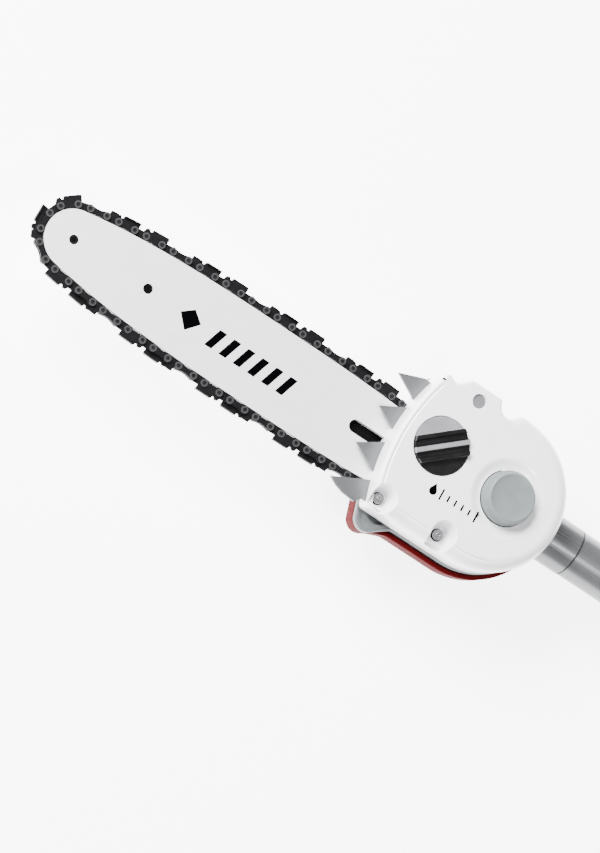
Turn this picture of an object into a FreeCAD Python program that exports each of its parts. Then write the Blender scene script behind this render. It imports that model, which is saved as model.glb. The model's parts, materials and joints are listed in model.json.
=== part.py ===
import FreeCAD, Part

import math
import os

V = FreeCAD.Vector

# A cordless telescoping pole saw, in millimetres, lying on its side.
# X runs from the bar's nose to the handle, Y to the saw's upper edge in use, and Z out of the
# gear head's cover. The drive sprocket's axis is X = Y = 0, and the bar's mid-plane is Z = 0.
# The last step moves every piece so that the origin is the middle of the resting face.

# ---- driving dimensions: saw chain and guide bar
PITCH_PAIR = 19.05           # one drive link and one side link of a 3/8 inch low-profile chain
DRIVE_LINK_SPAN = 8.05       # rivet to rivet on a drive link
SIDE_LINK_SPAN = PITCH_PAIR - DRIVE_LINK_SPAN
DRIVE_LINKS = 39
DRIVE_TEETH = 6
NOSE_TEETH = 7
RAIL_TO_RIVET = 2.9          # from the bar's rail to the rivet line
LINK_THICKNESS = 1.27
PLATE_THICKNESS = 1.15
PLATE_GAP = 0.07             # between a drive link and a side plate
RIVET_R = 1.95
RIVET_HEAD_R = 2.3
CUTTER_HEIGHT = 8.6          # cutter top above the rail
FOOT = 2.75                  # from the rivet line to a side link's feet
FOOT_RELIEF = 2.1            # the same between the feet, which clears the bar's round nose
BAR_THICKNESS = 4.0
BAR_GROOVE = 1.36
BAR_HALF_WIDTH = 26.7
BAR_WIDEST = 150.0           # from the nose centre to the widest place
BAR_TAIL_X = -30.0
NOSE_FLARE_DEG = 10.0
SLOT_START_X = -104.0
SLOT_END_X = -42.0
SLOT_HALF = 4.1
BAR_HOLE_R = 3.15
BAR_HOLE_FROM_NOSE = 54.2

# ---- driving dimensions: gear head
COVER_FRONT = 22.0
COVER_BACK = -4.5
FRAME_BACK = -10.5
BULGE_BACK = -55.0
WALL = 2.5
GAP = 0.15                   # face-to-face gap between neighbouring parts
HEAD_C = (-8.0, 10.0)        # centre of the head's round end
HEAD_R = 50.0
FRAME_SWELL = 0.6            # how far the shells behind the cover stand out below it
HOUSING_SWELL = 4.0
STUD_XS = (-68.0, -50.0)
SCREW_A = (-67.3, -32.2)
SCREW_B = (-23.0, -30.8)
SCREW_C = (-44.6, 50.9)
POCKET_FLOOR = 9.0
POCKET_R = 8.0
POCKET_SKIN = 1.8
SCREW_SHANK_R = 1.55
SCREW_HEAD_R = 3.5
SCREW_HEAD_TOP = 11.4
FLAT_SCREW_R = 4.2
FLAT_SCREW_TOP = 20.2
CHAIN_CLEAR_Z = 3.2          # half the room left across the chain's path
POST_Y = (-37.2, -31.7)      # the frame's post below the chain, whose arm takes screw B
POST_HALF = 3.0
POST_ARM_R = 4.0
POST_TOP = 7.05
STUD_R = 3.95
STUD_TOP = 12.4
TENSION_PIN_C = (-56.0, 14.0)
HOUSING_SCREWS = ((-64.5, -42.5), (-66.0, 40.0), (-4.0, 52.6), (24.0, -18.0))
HOUSING_SCREW_SEAT = -24.0   # where the heads of the housing screws bear
HOUSING_SCREW_END = -6.5
PLATE_Z = (5.0, 7.0)         # spike plate

# ---- driving dimensions: oil system
CAP_C = (-52.0, 14.2)
CAP_R = 18.0
NECK_R = 12.2
BUTTON_C = (1.2, 9.8)
BUTTON_R = 17.0
BUTTON_TOP = 30.0

# ---- driving dimensions: gears and motor
SHAFT_R = 5.0
MODULE = 1.0
GEAR_TEETH = 45
PINION_TEETH = 12
GEAR_Z = (-20.0, -12.0)
CENTRES = MODULE * (GEAR_TEETH + PINION_TEETH) / 2
MOTOR_ANGLE = 150.0
MOTOR_C = (
    CENTRES * math.cos(math.radians(MOTOR_ANGLE)),
    CENTRES * math.sin(math.radians(MOTOR_ANGLE)),
)
MOTOR_R = 23.0
MOTOR_Z = (-51.8, -24.6)
MOTOR_SHAFT_R = 2.5
MOTOR_SHAFT_SEAT = 4.6
BEARING_R = 11.0
BULGE_R = 27.0

# ---- driving dimensions: pole, handle and battery
POLE_Y = 14.5
POLE_Z = -21.0
SOCKET_R = 16.0
SOCKET_X = (27.0, 67.2)
SOCKET_BORE = 13.6
NECK_X = (18.0, 36.0)        # the housing's collar round the socket
NECK_WALL = 3.0
SPIGOT_X = (28.5, 120.0)
SOCKET_SCREW_X = 31.5
UPPER_R = 15.75
UPPER_X = (68.4, 880.0)
LOWER_R = 18.0
LOWER_BORE = 16.5
LOWER_X = (190.0, 1040.0)
COLLAR_X = (176.0, 234.0)
COLLAR_R = 23.0
GRIP_X = (560.0, 760.0)
GRIP_R = 22.5
STRAP_X = (840.0, 858.0)
LEVER_PIVOT = (POLE_Y + 30.5, POLE_Z + 12.0)     # y and z of the lock lever's pin
TRIGGER_PIN = (1052.0, 4.0)
LOCK_OFF_C = (1076.0, 24.0)
HANDLE_TOP_Z = POLE_Z + 20.6
HANDLE_SCREW_PLACES = ((1060.0, 35.0), (1110.0, 30.0), (1196.0, 0.5), (1196.0, 31.0))
BATTERY_X = (1262.4, 1330.0)
BATTERY_Y = (-34.0, 62.0)
BATTERY_Z = (-55.0, 13.0)
CELL_R = 9.0


# ---- helpers

def cyl(r, z0, z1, centre=(0.0, 0.0)):
    return Part.makeCylinder(r, z1 - z0, V(centre[0], centre[1], z0))


def ring(r_out, r_in, z0, z1, centre=(0.0, 0.0)):
    return cyl(r_out, z0, z1, centre).cut(cyl(r_in, z0 - 1, z1 + 1, centre))


def rod_x(r, x0, x1, y=POLE_Y, z=POLE_Z):
    return Part.makeCylinder(r, x1 - x0, V(x0, y, z), V(1, 0, 0))


def tube_x(r_out, r_in, x0, x1):
    return rod_x(r_out, x0, x1).cut(rod_x(r_in, x0 - 1, x1 + 1))


def rod_y(r, y0, y1, x, z):
    return Part.makeCylinder(r, y1 - y0, V(x, y0, z), V(0, 1, 0))


def box(x, y, z):
    return Part.makeBox(x[1] - x[0], y[1] - y[0], z[1] - z[0], V(x[0], y[0], z[0]))


def line(a, b):
    return Part.LineSegment(V(a[0], a[1], 0), V(b[0], b[1], 0)).toShape()


def arc(a, m, b):
    return Part.Arc(V(a[0], a[1], 0), V(m[0], m[1], 0), V(b[0], b[1], 0)).toShape()


def curve(points):
    spline = Part.BSplineCurve()
    spline.interpolate([V(x, y, 0) for x, y in points])
    return spline.toShape()


def prism(edges, z0, z1):
    wire = Part.Wire(edges)
    face = Part.Face(wire)
    face.translate(V(0, 0, z0))
    return face.extrude(V(0, 0, z1 - z0))


def poly(points, z0, z1):
    closed = list(points) + [points[0]]
    return prism([line(a, b) for a, b in zip(closed, closed[1:])], z0, z1)


def polar(r, deg):
    return r * math.cos(math.radians(deg)), r * math.sin(math.radians(deg))


def fuse(shapes):
    return shapes[0].multiFuse(list(shapes[1:])).removeSplitter()


def solid_of(shape):
    """The one solid inside a compound that a cut or fuse left."""
    return shape.Solids[0] if len(shape.Solids) == 1 else shape


def coil_spring(r, wire, z0, z1, turns, centre):
    """A compression spring, drawn as one closed ring for each turn."""
    step = (z1 - z0 - 2 * wire) / (turns - 1)
    rings = [Part.makeTorus(r, wire, V(centre[0], centre[1], z0 + wire + step * i)) for i in range(turns)]
    return Part.makeCompound(rings)


# ---- chain path: a nose arc, a bulged flank, a straight run and a sprocket arc, mirrored in y

def pitch_radius(teeth):
    """Radius at which one drive link and one side link take up one tooth's angle."""
    low, high = 5.6, 60.0
    for _ in range(60):
        r = (low + high) / 2
        taken = 2 * math.asin(SIDE_LINK_SPAN / 2 / r) + 2 * math.asin(DRIVE_LINK_SPAN / 2 / r)
        low, high = (r, high) if taken > 2 * math.pi / teeth else (low, r)
    return r


DRIVE_PITCH_R = pitch_radius(DRIVE_TEETH)
NOSE_PITCH_R = pitch_radius(NOSE_TEETH)


def flank_start(offset):
    """Where the flank leaves the nose arc, measured from the nose centre."""
    r = NOSE_PITCH_R - RAIL_TO_RIVET + offset
    return -r * math.sin(math.radians(NOSE_FLARE_DEG)), r * math.cos(math.radians(NOSE_FLARE_DEG))


def half_width(x, offset):
    """Half the bar's width, plus an offset outwards, at x from the nose centre."""
    x0, y0 = flank_start(offset)
    rise = BAR_HALF_WIDTH + offset - y0
    run = BAR_WIDEST - x0
    if x < BAR_WIDEST:
        power = math.tan(math.radians(NOSE_FLARE_DEG)) * run / rise
        return y0 + rise * (1 - (1 - (x - x0) / run) ** power)
    return BAR_HALF_WIDTH + offset - 3.4e-5 * (x - BAR_WIDEST) ** 2.5


def upper_path(nose_x):
    """Points close together along the upper half of the pitch line, from the sprocket to the nose."""
    rail_end = BAR_TAIL_X - 14.0
    y_end = half_width(rail_end - nose_x, RAIL_TO_RIVET)
    reach = math.hypot(rail_end, y_end)
    tangent = math.degrees(math.atan2(y_end, rail_end) - math.acos(DRIVE_PITCH_R / reach))
    points = [polar(DRIVE_PITCH_R, tangent * i / 60) for i in range(61)]
    leave = points[-1]
    for i in range(1, 60):
        points.append((leave[0] + (rail_end - leave[0]) * i / 60, leave[1] + (y_end - leave[1]) * i / 60))
    x0 = flank_start(RAIL_TO_RIVET)[0]
    steps = 400
    for i in range(steps + 1):
        x = rail_end - nose_x + (x0 - rail_end + nose_x) * i / steps
        points.append((nose_x + x, half_width(x, RAIL_TO_RIVET)))
    for i in range(1, 121):
        a = 90 + NOSE_FLARE_DEG + (90 - NOSE_FLARE_DEG) * i / 60
        x, y = polar(NOSE_PITCH_R, a)
        points.append((nose_x + x, y))
    return points


def step_along(points, at, index, chord):
    """The next place on the path that is one chord away from a place."""
    while math.dist(points[index + 1], at) < chord:
        index += 1
    a, b = points[index], points[index + 1]
    low, high = 0.0, 1.0
    for _ in range(40):
        t = (low + high) / 2
        p = (a[0] + (b[0] - a[0]) * t, a[1] + (b[1] - a[1]) * t)
        low, high = (t, high) if math.dist(p, at) < chord else (low, t)
    return p, index


def half_chain(nose_x):
    """Rivet places from the drive link on +x over the top to the side link across the nose."""
    points = upper_path(nose_x)
    first = polar(DRIVE_PITCH_R, math.degrees(math.asin(DRIVE_LINK_SPAN / 2 / DRIVE_PITCH_R)))
    rivets, index = [first], 0
    for i in range(DRIVE_LINKS):
        chord = SIDE_LINK_SPAN if i % 2 == 0 else DRIVE_LINK_SPAN
        at, index = step_along(points, rivets[-1], index, chord)
        rivets.append(at)
    return rivets


def solve_nose_x():
    """The nose place at which the last side link straddles the centre line."""
    low, high = -330.0, -290.0
    for _ in range(30):
        x = (low + high) / 2
        past_middle = half_chain(x)[-1][1] + half_chain(x)[-2][1] < 0
        low, high = (low, x) if past_middle else (x, high)
    return x


NOSE_X = solve_nose_x()


def chain_rivets_places():
    """All rivet places, once round, starting with the drive link on +x."""
    top = half_chain(NOSE_X)[:DRIVE_LINKS]
    bottom = [(x, -y) for x, y in reversed(top)]
    return top + bottom


RIVETS = chain_rivets_places()


# ---- saw chain

def placed_link(shape, a, b):
    """A link drawn with its rivets on the X axis about the origin, put between two rivet places."""
    angle = math.degrees(math.atan2(b[1] - a[1], b[0] - a[0]))
    link = shape.copy()
    link.rotate(V(0, 0, 0), V(0, 0, 1), angle)
    link.translate(V((a[0] + b[0]) / 2, (a[1] + b[1]) / 2, 0))
    return link


def holes(span, z0, z1):
    return [cyl(RIVET_R + 0.12, z0 - 1, z1 + 1, (s * span / 2, 0)) for s in (-1, 1)]


# Links are drawn for travel round the loop with the bar on the left hand (+y here is inwards).
def drive_link_shape(with_hump):
    h = DRIVE_LINK_SPAN / 2
    z = LINK_THICKNESS / 2
    points = [(-h - 2.6, -1.4), (-h - 2.6, 1.6), (-h - 0.6, 2.9), (-3.0, 4.4), (-0.6, 8.3),
              (0.7, 8.3), (3.0, 4.4), (h + 0.6, 2.9), (h + 2.6, 1.6), (h + 2.6, -1.4),
              (h + 1.0, -2.6), (h - 1.6, -2.4)]
    if with_hump:
        points += [(1.9, -5.0), (-2.9, -5.0), (-2.9, -2.4)]
    points += [(-h - 1.0, -2.6)]
    body = poly(points, -z, z)
    for hole in holes(DRIVE_LINK_SPAN, -z, z):
        body = body.cut(hole)
    return body


PLATE_Z0 = LINK_THICKNESS / 2 + PLATE_GAP
PLATE_Z1 = PLATE_Z0 + PLATE_THICKNESS


def tie_strap_shape():
    h = SIDE_LINK_SPAN / 2
    edges = [arc((-h, FOOT), (0, FOOT_RELIEF), (h, FOOT)), arc((h, FOOT), (h + FOOT, 0), (h, -FOOT)),
             arc((h, -FOOT), (0, -1.7), (-h, -FOOT)), arc((-h, -FOOT), (-h - FOOT, 0), (-h, FOOT))]
    strap = prism(edges, PLATE_Z0, PLATE_Z1)
    for hole in holes(SIDE_LINK_SPAN, PLATE_Z0, PLATE_Z1):
        strap = strap.cut(hole)
    return strap


def cutter_shape():
    """A chisel cutter: base plate, depth gauge ahead of it, and a top plate over the chain."""
    h = SIDE_LINK_SPAN / 2
    top = RAIL_TO_RIVET - CUTTER_HEIGHT
    side = [(-h - 2.2, FOOT), (0.5 - h, FOOT), (-2.8, FOOT_RELIEF), (2.8, FOOT_RELIEF), (h - 0.5, FOOT),
            (h + 2.2, FOOT), (h + 2.7, 0), (h + 2.5, -2.4), (h + 1.5, top + 0.9), (h - 0.4, top + 0.5),
            (h - 1.3, top + 1.8), (h - 2.4, top + 1.9), (h - 3.0, top + 0.1), (-h - 3.1, top + 0.9),
            (-h - 2.6, -1.0)]
    cutter = poly(side, PLATE_Z0, PLATE_Z1)
    for hole in holes(SIDE_LINK_SPAN, PLATE_Z0, PLATE_Z1):
        cutter = cutter.cut(hole)
    roof = Part.makePolygon([V(0, top + 1.0, PLATE_Z1), V(0, top, PLATE_Z1), V(0, top, -0.9),
                             V(0, top + 0.8, -0.9), V(0, top + 1.0, PLATE_Z1)])
    roof = Part.Face(roof).extrude(V(0.6 - 2 * h, 0, 0))
    roof.translate(V(h - 3.4, 0, 0))
    return cutter.fuse(roof).removeSplitter()


def flipped(shape):
    return shape.mirror(V(0, 0, 0), V(0, 0, 1))


def make_chain():
    """Every side link is a pair of plates; in each run of three pairs the first carries a near cutter,
    the second a far cutter and the third two plain straps."""
    cutter, strap = cutter_shape(), tie_strap_shape()
    plain_link, hump_link = drive_link_shape(False), drive_link_shape(True)
    made = {"chain_drive_links": [], "chain_cutters_near": [], "chain_cutters_far": [],
            "chain_tie_straps": [], "chain_rivets": []}
    count = len(RIVETS)
    for i in range(DRIVE_LINKS):
        start, end = RIVETS[2 * i - 1], RIVETS[2 * i]
        following = RIVETS[(2 * i + 1) % count]
        made["chain_drive_links"].append(placed_link(hump_link if i % 3 == 2 else plain_link, start, end))
        near = cutter if i % 3 == 0 else strap
        far = cutter if i % 3 == 1 else strap
        made["chain_cutters_near" if i % 3 == 0 else "chain_tie_straps"].append(
            placed_link(near, end, following))
        made["chain_cutters_far" if i % 3 == 1 else "chain_tie_straps"].append(
            placed_link(flipped(far), end, following))
    head = PLATE_Z1 + 0.05
    for x, y in RIVETS:
        rivet = fuse([cyl(RIVET_R, -head - 0.1, head + 0.1), cyl(RIVET_HEAD_R, head, 2.6),
                      cyl(RIVET_HEAD_R, -2.6, -head)])
        rivet = rivet.cut(cyl(1.2, 2.2, 3)).cut(cyl(1.2, -3, -2.2))
        rivet.translate(V(x, y, 0))
        made["chain_rivets"].append(rivet)
    return {name: Part.makeCompound(solids) for name, solids in made.items()}


# ---- guide bar and sprockets

def bar_outline(offset, tail_x):
    """Closed edges of the bar's outline, moved outwards by an offset."""
    x0 = flank_start(offset)[0]
    r = NOSE_PITCH_R - RAIL_TO_RIVET + offset
    xs = [x0 + (tail_x - NOSE_X - x0) * i / 24 for i in range(25)]
    top = [(NOSE_X + x, half_width(x, offset)) for x in xs]
    bottom = [(x, -y) for x, y in reversed(top)]
    ends = top[-1], bottom[0]
    tail_mid = (tail_x + 6.0, 0)
    return [curve(top), arc(ends[0], tail_mid, ends[1]), curve(bottom),
            arc(bottom[-1], (NOSE_X - r, 0), top[0])]


def make_guide_bar():
    half = BAR_THICKNESS / 2
    bar = prism(bar_outline(0.0, BAR_TAIL_X - 6), -half, half)
    core = prism(bar_outline(-6.9, BAR_TAIL_X - 14), -half, half)
    groove = box((NOSE_X - 60, 0), (-60, 60), (-BAR_GROOVE / 2, BAR_GROOVE / 2)).cut(core)
    nose_pocket = cyl(NOSE_PITCH_R - RAIL_TO_RIVET - 0.4, -BAR_GROOVE / 2, BAR_GROOVE / 2, (NOSE_X, 0))
    slot = fuse([box((SLOT_START_X + SLOT_HALF, SLOT_END_X - SLOT_HALF), (-SLOT_HALF, SLOT_HALF), (-3, 3)),
                 cyl(SLOT_HALF, -3, 3, (SLOT_START_X + SLOT_HALF, 0)),
                 cyl(SLOT_HALF, -3, 3, (SLOT_END_X - SLOT_HALF, 0))])
    hole = cyl(BAR_HOLE_R, -3, 3, (NOSE_X + BAR_HOLE_FROM_NOSE, 0))
    rivet_seat = cyl(3.2, -3, 3, (NOSE_X, 0))
    pin_hole = cyl(2.4, -3, 3, TENSION_PIN_C)
    for tool in (groove, nose_pocket, slot, hole, rivet_seat, pin_hole):
        bar = bar.cut(tool)
    return bar


def make_sprocket(teeth, tip_r, root_r, bore_r, tip_half, root_half, z_half, first_deg):
    body = cyl(root_r, -z_half, z_half)
    teeth_shapes = []
    for i in range(teeth):
        tooth = poly([(root_r - 2, -root_half), (tip_r, -tip_half), (tip_r, tip_half),
                      (root_r - 2, root_half)], -z_half, z_half)
        tooth.rotate(V(0, 0, 0), V(0, 0, 1), first_deg + 360.0 * i / teeth)
        teeth_shapes.append(tooth)
    return fuse([body] + teeth_shapes).cut(cyl(bore_r, -9, 9))


def make_nose():
    sprocket = make_sprocket(NOSE_TEETH, 17.4, 12.1, 6.02, 1.3, 2.6, 0.58, 180.0)
    hub = fuse([cyl(5.95, -0.6, 0.6), cyl(3.15, -2.15, 2.15)]).cut(cyl(1.9, -3, 3))
    for shape in (sprocket, hub):
        shape.translate(V(NOSE_X, 0, 0))
    return {"nose_sprocket": sprocket, "nose_rivet": hub}


# ---- gear head shells

def head_outline(lobe, swell=0.0):
    """Edges of the head's outline seen from the front, with the lower corner lobe or without it."""
    cx, cy = HEAD_C
    bottom = cy - HEAD_R
    join_deg = 95.0
    jx, jy = polar(HEAD_R, join_deg)
    join = (cx + jx, cy + jy)
    left = [arc((-71.5, 52.0), (-79.9, 8.0), (-72.4, -36.6))]
    if lobe:
        corner = [line((-72.4, -36.6), (-70.2, -43.5)),
                  arc((-70.2, -43.5), (-64.0, -50.4), (-55.5, -48.0)),
                  line((-55.5, -48.0), (-45.0, bottom - swell)),
                  line((-45.0, bottom - swell), (cx, bottom - swell))]
    else:
        corner = [arc((-72.4, -36.6), (-71.0, -39.2), (-68.2, bottom)),
                  line((-68.2, bottom), (cx, bottom))]
    right = [arc((cx, bottom - swell), (cx + HEAD_R + swell / 2, cy), join)]
    top = [line(join, (-15.0, 59.4)), line((-15.0, 59.4), (-18.6, 56.1)),
           arc((-18.6, 56.1), (-24.7, 52.6), (-30.2, 56.5)), line((-30.2, 56.5), (-31.6, 60.4)),
           line((-31.6, 60.4), (-54.6, 60.4)), line((-54.6, 60.4), (-60.6, 54.2)),
           arc((-60.6, 54.2), (-63.4, 53.2), (-67.0, 54.9)),
           arc((-67.0, 54.9), (-70.4, 54.6), (-71.5, 52.0))]
    return left + corner + right + top


def inner_prism(lobe, inset, z0, z1, swell=0.0):
    """The head's outline moved inwards, as a prism."""
    wire = Part.Wire(head_outline(lobe, swell)).makeOffset2D(-inset, 0)
    face = Part.Face(wire)
    face.translate(V(0, 0, z0))
    return face.extrude(V(0, 0, z1 - z0))


def pocket(centre, r, floor):
    """A round pocket that opens to the lower edge."""
    x, y = centre
    return fuse([cyl(r, floor, 40, centre), box((x - r, x + r), (-60, y), (floor, 40))])


def rounded_front(shape, radius, z_edge):
    """Fillets the edges that lie in the plane z_edge."""
    edges = [e for e in shape.Edges
             if abs(e.BoundBox.ZMin - z_edge) < 0.01 and abs(e.BoundBox.ZMax - z_edge) < 0.01]
    return shape.makeFillet(radius, edges)


def make_cover():
    outer = rounded_front(prism(head_outline(False), COVER_BACK, COVER_FRONT), 2.2, COVER_FRONT)
    cavity = inner_prism(False, WALL, COVER_BACK - 1, COVER_FRONT - WALL)
    keep = [pocket(SCREW_A, POCKET_R + 2.2, POCKET_FLOOR - POCKET_SKIN),
            pocket(SCREW_B, POCKET_R + 2.2, POCKET_FLOOR - POCKET_SKIN),
            cyl(5.6, COVER_BACK, 20, SCREW_C)]
    for shape in keep:
        cavity = cavity.cut(shape)
    cover = outer.cut(cavity)
    cuts = [pocket(SCREW_A, POCKET_R, POCKET_FLOOR), pocket(SCREW_B, POCKET_R, POCKET_FLOOR),
            cyl(2.1, COVER_BACK - 1, 12, SCREW_A), cyl(2.1, COVER_BACK - 1, 12, SCREW_B),
            cyl(4.4, 18.6, 30, SCREW_C), cyl(2.1, COVER_BACK - 1, 30, SCREW_C),
            cyl(NECK_R, 0, 30, CAP_C), cyl(CAP_R + 0.3, 20.4, 30, CAP_C),
            cyl(BUTTON_R + 0.3, 0, 30, BUTTON_C),
            box((-100, -66.0), (-37.3, 50.2), (COVER_BACK - 1, PLATE_Z[1] + GAP)),
            rod_x(SOCKET_R + 0.3, 20, 80)]
    for tool in cuts:
        cover = cover.cut(tool)
    return solid_of(cover)


def make_mid_frame():
    frame = prism(head_outline(True, FRAME_SWELL), FRAME_BACK, COVER_BACK - GAP)
    pads = [cyl(8.5, COVER_BACK - 1, -BAR_THICKNESS / 2 - 0.05, (x, 0)) for x in STUD_XS]
    post_x = (SCREW_B[0] - POST_HALF, SCREW_B[0] + POST_HALF)
    post = box(post_x, POST_Y, (COVER_BACK - 1, POST_TOP))
    frame = fuse([frame, post, cyl(POST_ARM_R, CHAIN_CLEAR_Z, POST_TOP, SCREW_B)] + pads)
    cuts = [cyl(4.05, -20, 0, (x, 0)) for x in STUD_XS]
    cuts += [cyl(BEARING_R + 0.05, FRAME_BACK + 1.2, 0), cyl(8.0, -20, 0), rod_x(SOCKET_R + 0.1, 20, 80)]
    cuts += [cyl(SCREW_SHANK_R + 0.05, -20, 0, SCREW_C), cyl(SCREW_SHANK_R + 0.05, 0, 20, SCREW_B)]
    cuts += [cyl(1.45, -20, HOUSING_SCREW_END + 0.1, c) for c in HOUSING_SCREWS]
    cuts += [cyl(MOTOR_SHAFT_SEAT, -20, FRAME_BACK + 3, MOTOR_C)]
    for tool in cuts:
        frame = frame.cut(tool)
    return solid_of(frame)


def stepped_back():
    """The housing's outline with its back edge drawn in by three steps."""
    steps = [(0.0, -21.5), (1.0, -24.0), (2.4, -26.0), (4.6, -27.5)]
    layers = [prism(head_outline(True, HOUSING_SWELL), steps[0][1], FRAME_BACK - GAP)]
    for (_, front), (inset, back) in zip(steps, steps[1:]):
        layers.append(inner_prism(True, inset, back, front, HOUSING_SWELL))
    return fuse(layers)


def make_rear_housing():
    outer = stepped_back()
    inner = inner_prism(True, WALL, -21.5, 0, HOUSING_SWELL)
    inner = inner.fuse(inner_prism(True, WALL + 2.4, -25.0, -21.4, HOUSING_SWELL))
    bulge = rounded_front(cyl(BULGE_R, BULGE_BACK, -20, MOTOR_C), 4.0, BULGE_BACK)
    neck = rod_x(SOCKET_R + NECK_WALL, *NECK_X)
    outer = fuse([outer, bulge, neck])
    outer = outer.common(box((-100, 60), (-80, 80), (-60, FRAME_BACK - GAP)))
    keep = [cyl(14.0, -26, -20.6), neck] + [cyl(4.6, -27, 0, c) for c in HOUSING_SCREWS]
    for shape in keep:
        inner = inner.cut(shape)
    housing = outer.cut(inner)
    cuts = [cyl(MOTOR_R + 0.3, BULGE_BACK + 3.0, 0, MOTOR_C), rod_x(SOCKET_R + 0.1, SOCKET_X[0] - 1, 80),
            cyl(BEARING_R + 0.05, -24.5, 0), cyl(GEAR_TEETH * MODULE / 2 + 2.2, GEAR_Z[0] - 0.6, 0)]
    cuts += [cyl(1.5, -40, 0, c) for c in HOUSING_SCREWS]
    cuts += [cyl(3.3, -40, HOUSING_SCREW_SEAT, c) for c in HOUSING_SCREWS]
    cuts.append(rod_y(1.7, POLE_Y - 30, POLE_Y + 30, SOCKET_SCREW_X, POLE_Z))
    for tool in cuts:
        housing = housing.cut(tool)
    return solid_of(housing)


def make_head_screws():
    seat = POCKET_FLOOR + 0.05
    short = fuse([cyl(SCREW_HEAD_R, seat, SCREW_HEAD_TOP, SCREW_A),
                  cyl(SCREW_SHANK_R, PLATE_Z[0], seat + 1, SCREW_A)])
    lower = fuse([cyl(SCREW_HEAD_R, seat, SCREW_HEAD_TOP, SCREW_B),
                  cyl(SCREW_SHANK_R, CHAIN_CLEAR_Z, seat + 1, SCREW_B)])
    flat = fuse([cyl(FLAT_SCREW_R, 18.65, FLAT_SCREW_TOP, SCREW_C), cyl(SCREW_SHANK_R, -9.5, 19, SCREW_C)])
    pans = []
    for screw, centre, top in ((short, SCREW_A, SCREW_HEAD_TOP), (lower, SCREW_B, SCREW_HEAD_TOP),
                               (flat, SCREW_C, FLAT_SCREW_TOP)):
        cross = fuse([box((-1.8, 1.8), (-0.45, 0.45), (top - 1.1, top + 1)),
                      box((-0.45, 0.45), (-1.8, 1.8), (top - 1.1, top + 1))])
        cross.translate(V(centre[0], centre[1], 0))
        pans.append(screw.cut(cross))
    return Part.makeCompound(pans)


def make_housing_screws():
    """Screws that enter from the back of the rear housing and end in the mid frame."""
    made = []
    for c in HOUSING_SCREWS:
        made.append(fuse([cyl(3.2, HOUSING_SCREW_SEAT - 2.1, HOUSING_SCREW_SEAT - 0.05, c),
                          cyl(1.4, HOUSING_SCREW_SEAT - 1.0, HOUSING_SCREW_END, c)]))
    return made


# ---- bar clamp and spike plate

def make_spike_plate():
    z0, z1 = PLATE_Z
    tips = [(-93.9, 41.9), (-94.3, 18.0), (-95.6, -9.1), (-99.4, -35.6)]
    root_x = -71.0
    points = [(-40.0, 16.0), (-56.0, 47.0), (-77.6, 48.0)]
    for i, (x, y) in enumerate(tips):
        points.append((x, y))
        if i + 1 < len(tips):
            drop = (root_x - x) * math.tan(math.radians(29.0))
            points.append((root_x - 0.8, y - drop * 0.94))
    points += [(-94.0, -38.6), (-88.0, -40.4), (-79.0, -41.2), (-75.5, -37.0), (-60.0, -37.0), (-40.0, -16.0)]
    plate = poly(points, z0, z1)
    for x in STUD_XS:
        plate = plate.cut(cyl(4.3, 0, 9, (x, 0)))
    plate = plate.cut(cyl(SCREW_SHANK_R + 0.05, 0, 9, SCREW_A)).cut(cyl(2.6, 0, 9, TENSION_PIN_C))
    return plate


def make_bar_clamp():
    studs = [cyl(STUD_R, FRAME_BACK + 0.2, STUD_TOP, (x, 0)) for x in STUD_XS]
    spacers = [ring(7.5, 4.1, BAR_THICKNESS / 2 + 0.05, PLATE_Z[0] - 0.05, (x, 0)) for x in STUD_XS]
    nuts = []
    for x in STUD_XS:
        hexagon = [polar(7.2, 60.0 * i) for i in range(6)]
        nut = poly([(x + hx, hy) for hx, hy in hexagon], PLATE_Z[1] + 0.05, 12.0)
        nuts.append(nut.cut(cyl(4.05, 0, 20, (x, 0))))
    x, y = TENSION_PIN_C
    z = (BAR_THICKNESS / 2 + PLATE_Z[0]) / 2
    block = box((x - 4, x + 4), (y - 2.4, y + 2.4), (z - 1.1, z + 1.2))
    pin = fuse([cyl(2.25, -1.9, z + 1.2, TENSION_PIN_C), block])
    screw = fuse([rod_x(1.35, x + 4.1, x + 28, y, z), rod_x(2.6, x + 28, x + 31, y, z)])
    return {"bar_studs": Part.makeCompound(studs), "bar_nuts": Part.makeCompound(nuts + spacers),
            "chain_tensioner": Part.makeCompound([pin, screw])}


# ---- oil system

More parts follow.
